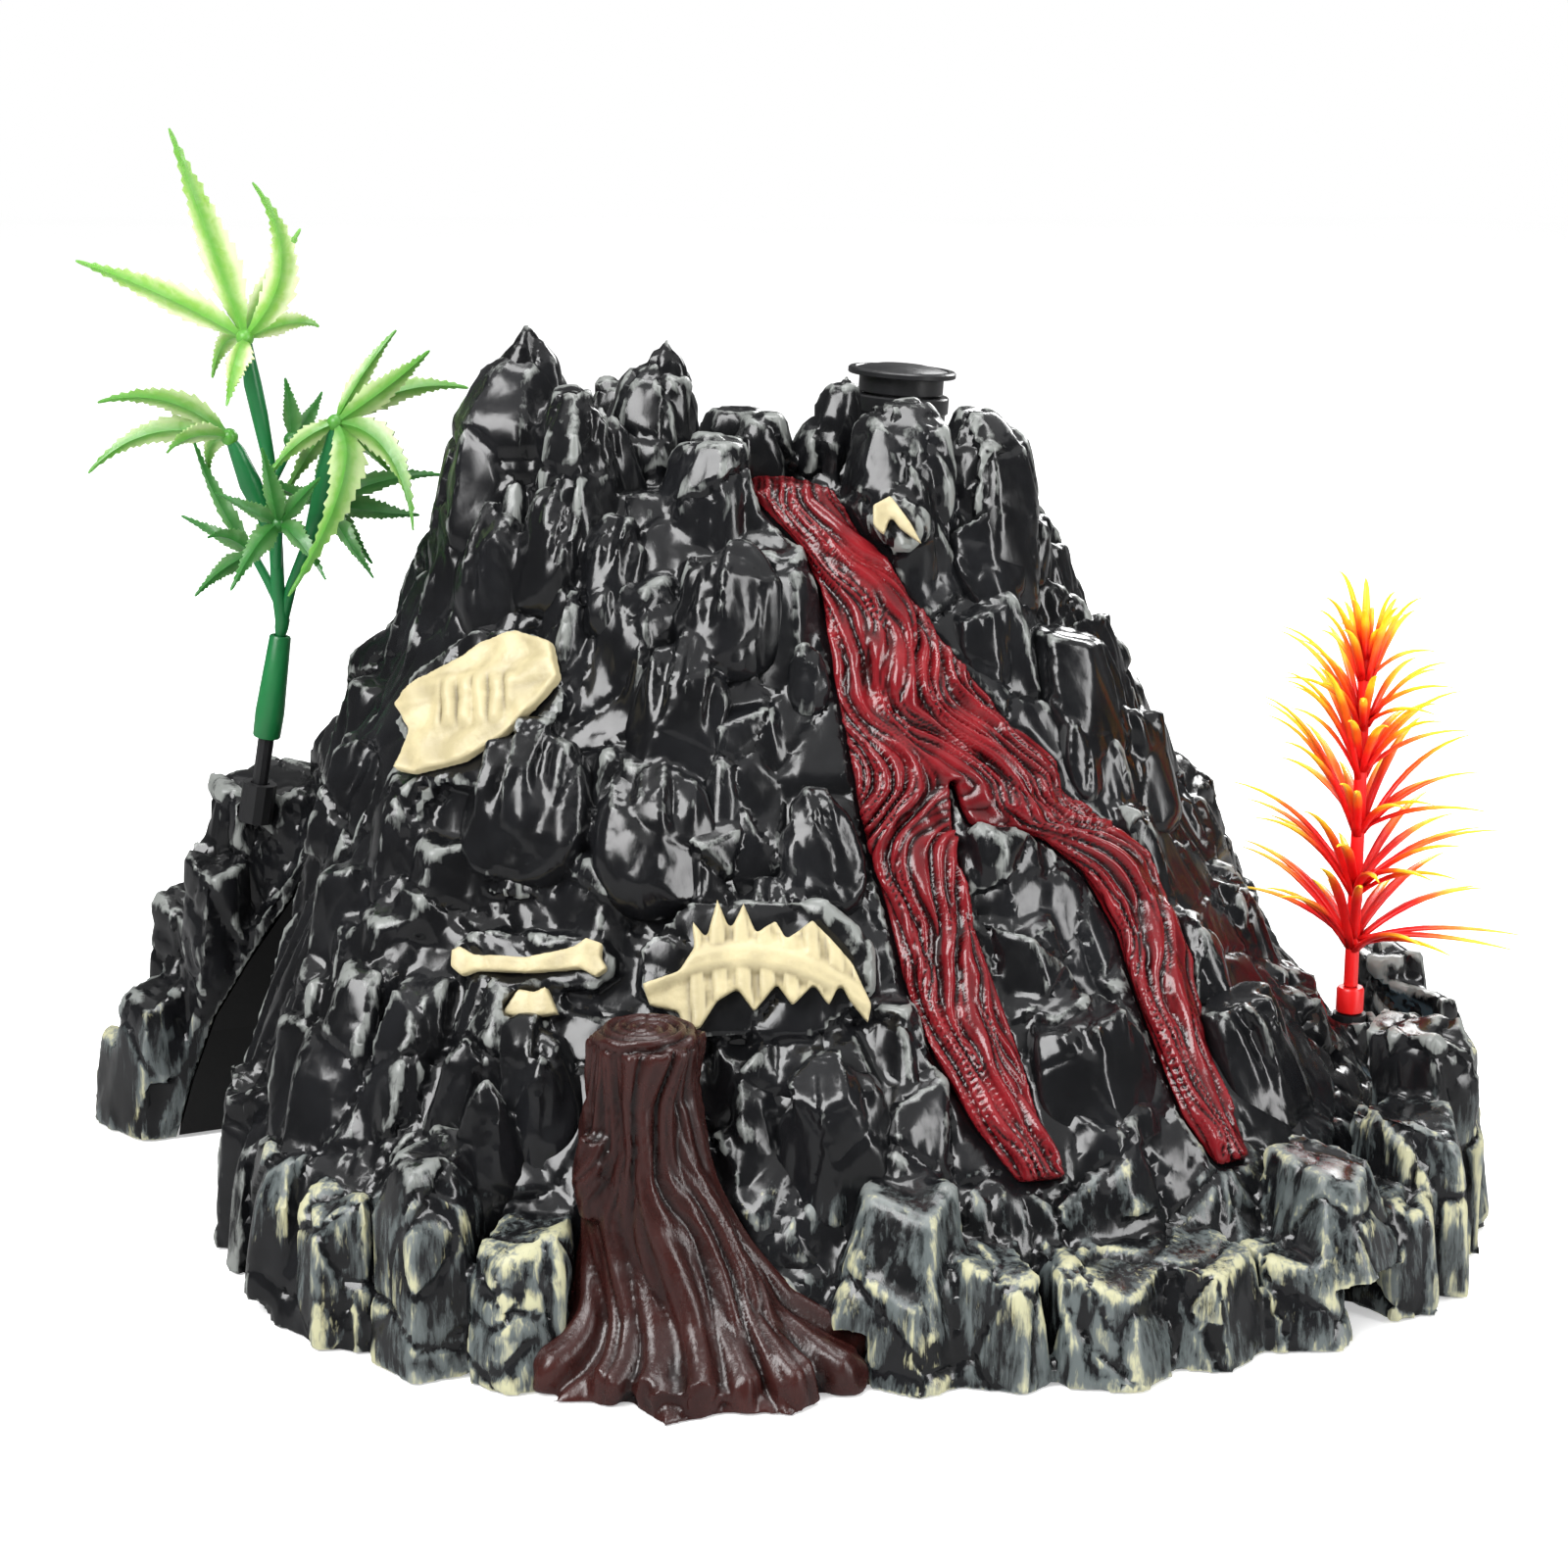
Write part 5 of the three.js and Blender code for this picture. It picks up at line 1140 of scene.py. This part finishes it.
# ------------------------------------------------------------------ outlet
class ORNAMENT_OT_outlet(bpy.types.Operator):
    """Turns the crater neck and its loose cap"""

    bl_idname = "ornament.outlet"
    bl_label = "Outlet and cap"

    def execute(self, context):
        s, c = STACK, CAP
        tilt = leaning((s["x"], s["y"], s["rim"]), s["lean"], -s["rim"])
        neck = turned("outlet_neck", [
            (s["bore"], s["foot"]), (s["r"], s["foot"]), (s["r"], s["under"] - 2.2), (s["collar"], s["under"] - 2.2),
            (s["collar"], s["under"]), (s["r"], s["under"]), (s["r"], s["rim"] - 3.4), (s["r"] + 0.5, s["rim"] - 3),
            (s["r"] + 0.5, s["rim"] - 0.3), (s["r"] + 0.25, s["rim"]), (s["bore"] + 0.25, s["rim"]),
            (s["bore"], s["rim"] - 0.3), (s["bore"], s["foot"])])
        seat = s["rim"] + GAP
        brim = seat + c["tall"]
        low = s["rim"] - c["plug_long"]
        cap = turned("outlet_cap", [
            (0.4, low), (c["plug"] - 0.8, low), (c["plug"], low + 1.2), (c["plug"], seat), (c["neck"] - 0.2, seat),
            (c["neck"], seat + 0.2), (c["neck"], brim), (c["flange"] - 0.15, brim), (c["flange"], brim + 0.15),
            (c["flange"], brim + c["thick"] - 0.3), (c["flange"] - 0.3, brim + c["thick"]),
            (c["flange"] - 1.3, brim + c["thick"] + 0.05), (c["flange"] - 1.6, brim + c["thick"] - 0.15),
            (c["flange"] * 0.72, brim + c["thick"] + 0.2), (c["flange"] * 0.45, brim + c["thick"] + c["dome"] * 0.8),
            (0.4, brim + c["thick"] + c["dome"])])
        look = moulded("outlet_satin_black", (0.013, 0.0132, 0.0145, 1), 0.3, 0.16, 700.0, 0.00005)
        for piece, node, body in ((neck, "crater_stack", "ornament"), (cap, "bubble_cap", "bubble_cap")):
            place(piece, tilt)
            smooth_shading(piece, 35)
            dress(piece, look)
            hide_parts(node)
            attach(piece, body)
        return {"FINISHED"}


# ------------------------------------------------------------------ plants
def base_leaf():
    """Flat toothed leaf, one unit long and two wide: a grid with its margin drawn out into forward teeth."""
    bpy.ops.object.select_all(action="DESELECT")
    bpy.ops.mesh.primitive_grid_add(x_subdivisions=6, y_subdivisions=46, size=2)
    leaf = bpy.context.view_layer.objects.active
    leaf.name = leaf.data.name = "leaf"
    points = points_of(leaf)
    t, s = points[:, 0], (points[:, 1] + 1) / 2
    lance = np.interp(s, [0, 0.05, 0.16, 0.34, 0.6, 0.82, 1], [0.16, 0.28, 0.72, 1.0, 0.66, 0.26, 0.02])
    tooth = np.mod(s * 15 + 0.4 * np.sin(9 * s), 1.0)
    jag = np.where(np.abs(t) > 0.9, 0.3 * tooth ** 1.4 - 0.06, 0) * np.clip(6 * s * (1 - s), 0, 1)
    rear = np.where(np.abs(t) > 0.9, 0.025 * tooth * (1 - s), 0)
    points[:, 0] = t * lance + np.sign(t) * jag
    points[:, 1] = np.minimum(s + rear, 1)
    set_points(leaf, points)
    set_mark(leaf, "across", np.abs(t))
    set_mark(leaf, "along", s)
    return leaf


def bent_leaf(base, root, bend, tip, width, twist):
    """Copy of the base leaf bent along root, bend and tip, with a raised midrib and drooping sides."""
    leaf = base.copy()
    leaf.data = base.data.copy()
    bpy.context.scene.collection.objects.link(leaf)
    root, bend, tip = Vector(root), Vector(bend), Vector(tip)
    points = points_of(leaf)
    moved = np.empty_like(points)
    chord = (tip - root).normalized()
    side = chord.cross(Vector((0.15, 1, 0.2)))
    side = side.normalized() if side.length > 0.3 else Vector((1, 0, 0))
    for k, (t, s, _) in enumerate(points):
        middle = root * (1 - s) ** 2 + bend * 2 * s * (1 - s) + tip * s * s
        along = ((bend - root) * (1 - s) + (tip - bend) * s).normalized()
        over = (side - along * side.dot(along)).normalized()
        out = over.cross(along).normalized()
        out = -out if out.y > 0 else out
        turn = twist * (s - 0.3)
        over, out = over * math.cos(turn) + out * math.sin(turn), out * math.cos(turn) - over * math.sin(turn)
        half = t * width / 2
        ruffle = 0.25 * math.sin(26 * s + 2 * t) * abs(t)
        rib = 0.3 * math.exp(-((t / 0.16) ** 2))
        moved[k] = middle + over * half * 0.94 - out * (0.42 * abs(half) - ruffle * 0.5 - rib)
    set_points(leaf, moved * MM)
    finish_modifier(leaf, "SOLIDIFY", thickness=0.42 * MM, offset=0.0)
    return leaf


def leaf_material(look, name, dark):
    paint = Paint(name)
    side, along = paint.mark("across"), paint.mark("along")
    # dark is a share of painted shade: the leaf colour and its pale margin are darkened towards the stem green by it.
    fresh = [look.leaf[k] * (1 - dark) + look.stem[k] * dark for k in range(3)] + [1]
    pale = [look.margin[k] * (1 - dark) ** 1.6 + fresh[k] * (1 - (1 - dark) ** 1.6) for k in range(3)] + [1]
    rib = [fresh[0] * 0.42, fresh[1] * 0.8, fresh[2] * 0.5, 1]
    blotch = paint.noise(150.0, 4.0, 0.6)
    edge = paint.window(paint.calc("ADD", side, paint.calc("MULTIPLY", blotch, 0.6)), 0.62, 1.2)
    mid = paint.window(side, 0.04, 0.4, 1.0, 0.0)
    veins = paint.window(paint.noise(420.0, 3.0, 0.5, (1, 1, 1), 1.0), 0.35, 0.7)
    tone = paint.mix(edge, fresh, pale)
    tone = paint.mix(paint.calc("MULTIPLY", veins, 0.22), tone, pale)
    tone = paint.mix(paint.calc("MULTIPLY", mid, 0.75), tone, rib)
    paint.feed(paint.shader, "Base Color", paint.mix(paint.window(along, 0.0, 0.22, 0.7, 0.0), tone, rib))
    paint.feed(paint.shader, "Roughness", paint.window(veins, 0, 1, 0.28, 0.42))
    paint.soften((0.4, 1.0, 0.2), 0.001)
    paint.bump(paint.noise(900.0, 3.0), 0.00015, 0.5)
    return paint.material


def green_line(up):
    lean = math.radians(GREEN_LEAN)
    x, y, z = GREEN_FOOT
    return (x + up * math.sin(lean), y, z + up * math.cos(lean))


class ORNAMENT_OT_green_plant(bpy.types.Operator):
    """Makes the green plant: sleeve, twigs and toothed leaf whorls"""

    bl_idname = "ornament.green_plant"
    bl_label = "Green plant"

    def execute(self, context):
        look = context.scene.ornament_plant
        stem_green = moulded("stem_gloss_green", look.stem, 0.32, 0.2, 500.0, 0.00008)
        s = SLEEVE
        top = s["start"] + s["long"]
        sleeve = turned("green_ferrule", [
            (1.6, s["start"]), (s["foot"] - 0.2, s["start"]), (s["foot"], s["start"] + 0.3),
            (s["foot"] + 0.15, s["start"] + 5), (s["foot"] - 0.05, s["start"] + 9), (s["top"], top - 0.3),
            (s["top"] - 0.2, top), (1.25, top), (1.25, top - 8), (0.3, top - 8.3), (0.3, s["start"] + 11.3),
            (1.6, s["start"] + 11), (1.6, s["start"])], 32)
        place(sleeve, leaning(GREEN_FOOT, GREEN_LEAN))
        smooth_shading(sleeve, 35)
        dress(sleeve, stem_green)
        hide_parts("green_sleeve")
        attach(sleeve, "green_sleeve")
        fork, pin = green_line(top + 3), green_line(top - 7.2)
        runs = [
            [(pin, 0.95), (green_line(top), 1.0), (green_line(top + 1.5), 1.35), (fork, 1.45), (( -98.1, 20, 111), 1.35),
             ((-98.1, 20, 118), 1.35), ((-98.4, 20, 127), 1.3), ((-98.9, 20, 136), 1.25), ((-100.2, 20, 144), 1.6),
             ((-101.3, 20, 150), 1.7), ((-101.9, 20, 155), 1.3), (HUBS["top"], 1.1)],
            [((-98.2, 20, 119), 1.0), ((-100, 19.8, 125), 1.8), ((-102.5, 19.5, 131), 2.2), ((-104.6, 19.2, 137), 1.6),
             (HUBS["left"], 0.9)],
            [(fork, 1.2), ((-95.5, 20, 111), 1.1), ((-92, 20, 119), 1.2), ((-89.4, 19.4, 126), 2.0),
             ((-87.6, 18.6, 132), 2.3), ((-86.2, 17.6, 138), 1.7), (HUBS["right"], 1.0)],
            [((-90.5, 19.8, 122), 0.95), ((-89.6, 21.5, 124.5), 0.9), (HUBS["low_right"], 0.85)],
            [((-98.2, 20, 108), 1.0), ((-100.2, 21, 112), 0.95), (HUBS["low_left"], 0.85)],
            [((-98.1, 20, 114), 1.0), ((-97.4, 17.4, 119), 0.95), (HUBS["front"], 0.85)],
            [((-98.5, 20, 131), 0.95), ((-96.4, 21, 135), 0.9), (HUBS["pod"], 0.8)],
        ]
        stem = tubes("green_twigs", [[(Vector(p), r) for p, r in run] for run in runs], 3)
        smooth_shading(stem)
        dress(stem, stem_green)
        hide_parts("green_stem")
        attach(stem, "green_plant")
        # Painted shade: the left and right whorls get the leaf finish darkened a third of the way to the stem green,
        # and the low, front and pod whorls most of the way.
        fresh = leaf_material(look, "leaf_fresh_green", 0.0)
        middle = leaf_material(look, "leaf_half_shaded_green", 0.35)
        dark = leaf_material(look, "leaf_shaded_green", 0.8)
        tones = {"top": fresh, "left": middle, "right": middle, "low_right": dark, "low_left": dark,
                 "front": dark, "pod": dark}
        base = base_leaf()
        for number, (hub, leaves) in enumerate(LEAVES.items()):
            dice = np.random.default_rng(WHORL_SEED + number)
            blades = [bent_leaf(base, HUBS[hub], bend, tip, width * look.broad, dice.uniform(-0.5, 0.5))
                      for bend, tip, width in leaves]
            blades = join(blades, f"whorl_{hub}")
            smooth_shading(blades, 50)
            dress(blades, tones[hub])
            bpy.ops.object.select_all(action="DESELECT")
            bpy.ops.mesh.primitive_ico_sphere_add(subdivisions=3, radius=1.7 * MM, location=Vector(HUBS[hub]) * MM)
            ball = bpy.context.view_layer.objects.active
            bpy.ops.object.transform_apply(location=True, rotation=True, scale=True)
            smooth_shading(ball)
            dress(ball, tones[hub])
            whorl = join([blades, ball], f"whorl_{hub}")
            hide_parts(f"green_leaves_{hub}")
            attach(whorl, "green_plant")
        bpy.data.objects.remove(base)
        return {"FINISHED"}


def base_needle():
    """Tapered needle one unit long, drawn out of a cone and flattened."""
    bpy.ops.object.select_all(action="DESELECT")
    bpy.ops.mesh.primitive_cone_add(vertices=6, radius1=1, radius2=0.08, depth=1, location=(0, 0, 0.5))
    spike = bpy.context.view_layer.objects.active
    bpy.ops.object.transform_apply(location=True, rotation=False, scale=False)
    spike.name = spike.data.name = "needle"
    bpy.ops.object.mode_set(mode="EDIT")
    bpy.ops.mesh.select_all(action="SELECT")
    for height in np.linspace(0.1, 0.9, 8):
        bpy.ops.mesh.select_all(action="SELECT")
        bpy.ops.mesh.bisect(plane_co=(0, 0, height), plane_no=(0, 0, 1))
    bpy.ops.object.mode_set(mode="OBJECT")
    points = points_of(spike)
    s = points[:, 2]
    girth = np.interp(s, [0, 0.15, 0.45, 0.8, 1], [0.75, 0.85, 1.0, 0.55, 0.12])
    turn = np.arctan2(points[:, 1], points[:, 0])
    inside = np.hypot(points[:, 0], points[:, 1]) > 1e-4
    points[:, 0] = np.where(inside, 1.25 * girth * np.cos(turn), 0)
    points[:, 1] = np.where(inside, 0.6 * girth * np.sin(turn), 0)
    set_points(spike, points)
    set_mark(spike, "along", s)
    return spike


def bent_needle(base, angle, foot, reach, rise, thick):
    """Copy of the base needle rising from the stem and curving outwards."""
    spike = base.copy()
    spike.data = base.data.copy()
    bpy.context.scene.collection.objects.link(spike)
    x, y, _ = RED_FOOT
    out = Vector((math.cos(angle), math.sin(angle), 0))
    root = Vector((x, y, foot)) + out * 1.1
    tip = root + out * reach + Vector((0, 0, rise))
    bend = root + out * reach * 0.42 + Vector((0, 0, rise * 0.75 + 2.5))
    over = Vector((-out.y, out.x, 0))
    points = points_of(spike)
    for k, (a, b, s) in enumerate(points.tolist()):
        middle = root * (1 - s) ** 2 + bend * 2 * s * (1 - s) + tip * s * s
        along = ((bend - root) * (1 - s) + (tip - bend) * s).normalized()
        points[k] = middle + over * (a * thick) + along.cross(over) * (b * thick)
    set_points(spike, points * MM)
    return spike


class ORNAMENT_OT_red_plant(bpy.types.Operator):
    """Makes the red plant: foot, stem and tiers of needles that turn yellow at their tips"""

    bl_idname = "ornament.red_plant"
    bl_label = "Red plant"

    def execute(self, context):
        look = context.scene.ornament_plant
        x, y, z = RED_FOOT
        paint = Paint("needle_red_to_yellow")
        along, drift = paint.mark("along"), paint.noise(120.0, 2.0)
        level = paint.mark("level")
        reach = paint.calc("ADD", along, paint.calc("MULTIPLY", drift, 0.5))
        out_share = paint.window(paint.calc("ADD", reach, paint.calc("MULTIPLY", level, 0.45)), 0.62, 1.3)
        mid = [look.root_red[0] * 1.15, 0.13, 0.008, 1]
        tone = paint.mix(paint.window(out_share, 0.0, 0.5), look.root_red, mid)
        paint.feed(paint.shader, "Base Color", paint.mix(paint.window(out_share, 0.45, 1.0), tone, look.tip_yellow))
        paint.feed(paint.shader, "Roughness", paint.window(drift, 0.2, 0.8, 0.3, 0.42))
        paint.soften((1.0, 0.3, 0.1), 0.002)
        paint.bump(paint.noise(800.0, 3.0), 0.0001, 0.5)
        red = moulded("stem_gloss_red", look.root_red, 0.35, 0.2, 500.0, 0.00008)
        foot = turned("red_foot", [
            (0.3, z - 5), (1.6, z - 5), (1.6, z + 1.1), (2.4, z + 1.1), (2.6, z + 1.3), (2.6, z + 5.5), (2.3, z + 6),
            (1.2, z + 6), (1.2, z + 3), (0.3, z + 3)], 28)
        stem = turned("red_trunk", [
            (0.3, z + 3.3), (0.9, z + 3.3), (0.9, z + 6.3), (1.35, z + 6.3), (1.25, z + 40), (1.0, z + 70),
            (0.6, z + 73), (0.2, z + 74)], 24)
        for piece, node, body in ((foot, "red_peg", "red_foot"), (stem, "red_stem", "red_plant")):
            place(piece, Matrix.Translation((x * MM, y * MM, 0)))
            smooth_shading(piece, 40)
            dress(piece, red)
            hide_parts(node)
            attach(piece, body)
        base = base_needle()
        for number, (up, reach, rise, turn) in enumerate(TIERS, start=1):
            dice = np.random.default_rng(TIER_SEED + number)
            spikes = []
            count = look.needles if number < 6 else 11
            low = max(0.0, 1 - up / 60)
            for k in range(count):
                angle = turn + 2 * math.pi * (k + dice.uniform(-0.45, 0.45)) / count
                toward = max(0.0, math.cos(angle - ROCK_SIDE))
                shorten = 1 - 0.45 * toward * low
                climb = rise + 14 * toward * math.sqrt(low) + dice.uniform(-5.5, 6.5)
                spikes.append(bent_needle(base, angle, z + up + dice.uniform(-1.5, 1.5),
                                          reach * shorten * dice.uniform(0.74, 1.16), climb, 0.68 + 0.3 * low))
            tier = join(spikes, f"needles_{number}")
            set_mark(tier, "level", np.full(len(tier.data.vertices), up / 75))
            smooth_shading(tier)
            dress(tier, paint.material)
            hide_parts(f"red_tier_{number}")
            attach(tier, "red_plant")
        bpy.data.objects.remove(base)
        return {"FINISHED"}


# ------------------------------------------------------------------ carried-over CAD nodes
class ORNAMENT_OT_works(bpy.types.Operator):
    """Finishes the pieces kept from the CAD: cave lining, pool, base, screws and the air works"""

    bl_idname = "ornament.works"
    bl_label = "Base and air works"

    def execute(self, context):
        # Partly painted shade: the cave lining is its own black plastic, set darker than every other black to stand in
        # for the shade inside the cave.
        black = moulded("lining_black_and_cave_shade", (0.0016, 0.0016, 0.0018, 1), 0.55, 0.16, 600.0, 0.00006)
        base = moulded("base_matt_black", (0.018, 0.018, 0.019, 1), 0.55, 0.2, 450.0, 0.0001)
        rubber = moulded("rubber_black", (0.008, 0.008, 0.009, 1), 0.5, 0.2, 500.0, 0.00008)
        steel = moulded("screw_steel", (0.55, 0.55, 0.53, 1), 0.3, 0.12, 1600.0, 0.00003, 1.0)
        cast = moulded("ballast_cast", (0.22, 0.2, 0.17, 1), 0.9, 0.35, 220.0, 0.0006)
        tube = moulded("riser_clear", (0.62, 0.68, 0.7, 1), 0.14, 0.05, 300.0, 0.00003, 0.0, Alpha=0.55)
        hood = moulded("hood_grey", (0.05, 0.053, 0.058, 1), 0.42, 0.15, 500.0, 0.00006)
        stone = moulded("air_stone_blue", (0.1, 0.16, 0.27, 1), 0.95, 0.4, 650.0, 0.0005)
        hose = moulded("hose_milky", (0.62, 0.64, 0.6, 1), 0.28, 0.08, 300.0, 0.00004)
        fitting = moulded("fitting_white", (0.72, 0.72, 0.68, 1), 0.36, 0.08, 500.0, 0.00004)
        post = moulded("peg_satin_black", (0.012, 0.012, 0.013, 1), 0.3, 0.15, 600.0, 0.00005)
        water = Paint("pool_pale_blue")
        ripple = water.noise(110.0, 4.0, 0.5, (1, 1, 1), 1.2)
        foam = water.window(ripple, 0.5, 0.68)
        water.feed(water.shader, "Base Color", water.mix(foam, (0.3, 0.47, 0.58, 1), (0.82, 0.88, 0.9, 1)))
        water.feed(water.shader, "Roughness", water.window(ripple, 0.3, 0.7, 0.06, 0.16))
        water.bump(ripple, 0.0012, 0.6)
        finishes = {
            "cave_liner": black, "base_plate": base, "inlet_grommet": rubber, "green_socket": rubber,
            "red_socket": rubber, "ballast_left": cast, "ballast_right": cast, "riser_tube": tube,
            "bubble_hood": hood, "air_stone": stone, "air_hose": hose, "inlet_fitting": fitting,
            "green_peg": post, "pool_water": water.material,
        }
        for number in range(1, 6):
            finishes[f"base_screw_{number}"] = steel
        for node, material in finishes.items():
            dress_node(node, material)
        return {"FINISHED"}


# ------------------------------------------------------------------ stage
def softbox(name, spot, aim, size, power, color=(1, 1, 1)):
    data = bpy.data.lights.new(name, "AREA")
    data.shape = "RECTANGLE"
    data.size, data.size_y = size
    data.energy = power
    data.color = color
    lamp = bpy.data.objects.new(name, data)
    lamp.location = spot
    lamp.rotation_euler = (Vector(aim) - Vector(spot)).to_track_quat("-Z", "Y").to_euler()
    bpy.context.scene.collection.objects.link(lamp)


class ORNAMENT_OT_stage(bpy.types.Operator):
    """Sets the camera, the pale floor and the soft studio light"""

    bl_idname = "ornament.stage"
    bl_label = "Stage"

    def execute(self, context):
        look = context.scene.ornament_stage
        data = bpy.data.cameras.new("camera")
        data.lens = look.lens
        data.sensor_width = 36
        camera = bpy.data.objects.new("camera", data)
        camera.location = (0, -look.distance, look.height)
        camera.rotation_euler = (math.pi / 2 - look.pitch, 0, 0)
        context.scene.collection.objects.link(camera)
        context.scene.camera = camera
        bpy.ops.object.select_all(action="DESELECT")
        bpy.ops.mesh.primitive_plane_add(size=8, location=(0, 0, -0.0004))
        floor = context.view_layer.objects.active
        bpy.ops.object.transform_apply(location=True, rotation=True, scale=True)
        floor.name = "floor"
        paint = Paint("floor_pale")
        tone = paint.mix(paint.window(paint.noise(3.0, 2.0), 0.3, 0.7), look.floor,
                         tinted(look.floor, 0.985))
        mirrored = paint.add("ShaderNodeLightPath").outputs["Is Glossy Ray"]
        paint.feed(paint.shader, "Base Color", paint.mix(mirrored, tone, (0.2, 0.2, 0.2, 1)))
        paint.shader.inputs["Roughness"].default_value = 0.85
        paint.shader.inputs["Specular IOR Level"].default_value = 0.1
        paint.feed(paint.shader, "Emission Color", paint.mix(mirrored, (1, 1, 1, 1), (0.15, 0.15, 0.15, 1)))
        paint.shader.inputs["Emission Strength"].default_value = 0.42
        dress(floor, paint.material)
        world = bpy.data.worlds.new("studio")
        context.scene.world = world
        world.use_nodes = True
        nodes, links = world.node_tree.nodes, world.node_tree.links
        path = nodes.new("ShaderNodeLightPath")
        seen = nodes.new("ShaderNodeMix")
        seen.inputs[2].default_value, seen.inputs[3].default_value = 0.3, 1.0
        mirror = nodes.new("ShaderNodeMix")
        mirror.inputs[3].default_value = 0.1
        links.new(path.outputs["Is Camera Ray"], seen.inputs[0])
        links.new(path.outputs["Is Glossy Ray"], mirror.inputs[0])
        links.new(seen.outputs[0], mirror.inputs[2])
        links.new(mirror.outputs[0], nodes["Background"].inputs["Strength"])
        nodes["Background"].inputs["Color"].default_value = (1, 1, 1, 1)
        softbox("key", (-0.65, -0.8, 0.95), (0, 0, 0.07), (0.8, 0.7), 20)
        softbox("fill", (0.95, -0.6, 0.5), (0, 0, 0.07), (0.3, 0.8), 7)
        softbox("top", (0.05, 0.1, 1.1), (0, 0, 0.06), (0.7, 0.35), 6)
        softbox("back", (0.5, 0.9, 0.6), (0, 0, 0.1), (0.6, 0.4), 8)
        sky = bpy.data.lights.new("sky", "SUN")
        sky.energy = 1.1
        sky.angle = math.radians(100)
        lamp = bpy.data.objects.new("sky", sky)
        lamp.location = (0, 0, 2)
        context.scene.collection.objects.link(lamp)
        context.scene.view_settings.view_transform = "Standard"
        return {"FINISHED"}


# ------------------------------------------------------------------ panel and registration
OPERATORS = [
    ORNAMENT_OT_stage, ORNAMENT_OT_rock, ORNAMENT_OT_lava, ORNAMENT_OT_stump, ORNAMENT_OT_fossils,
    ORNAMENT_OT_outlet, ORNAMENT_OT_green_plant, ORNAMENT_OT_red_plant, ORNAMENT_OT_works,
]


class ORNAMENT_PT_panel(bpy.types.Panel):
    """Lists the ornament's pieces and their settings"""

    bl_idname = "ORNAMENT_PT_panel"
    bl_label = "Bubbling ornament"
    bl_space_type = "VIEW_3D"
    bl_region_type = "UI"
    bl_category = "Ornament"

    def draw(self, context):
        for operator in OPERATORS:
            self.layout.operator(operator.bl_idname)
        for name in GROUPS:
            box = self.layout.box()
            settings = getattr(context.scene, name)
            for key in settings.bl_rna.properties.keys():
                if key not in ("rna_type", "name"):
                    box.prop(settings, key)


GROUPS = {
    "ornament_rock": RockLook, "ornament_lava": LavaLook, "ornament_stump": StumpLook,
    "ornament_plant": PlantLook, "ornament_bone": BoneLook, "ornament_stage": StageLook,
}


def register():
    for group in GROUPS.values():
        bpy.utils.register_class(group)
    for name, group in GROUPS.items():
        setattr(bpy.types.Scene, name, bpy.props.PointerProperty(type=group))
    for operator in OPERATORS:
        bpy.utils.register_class(operator)
    bpy.utils.register_class(ORNAMENT_PT_panel)


def unregister():
    bpy.utils.unregister_class(ORNAMENT_PT_panel)
    for operator in reversed(OPERATORS):
        bpy.utils.unregister_class(operator)
    for name, group in GROUPS.items():
        delattr(bpy.types.Scene, name)
        bpy.utils.unregister_class(group)


def main():
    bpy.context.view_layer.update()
    register()
    for operator in OPERATORS:
        folder, name = operator.bl_idname.split(".")
        getattr(getattr(bpy.ops, folder), name)()


if __name__ == "__main__":
    main()
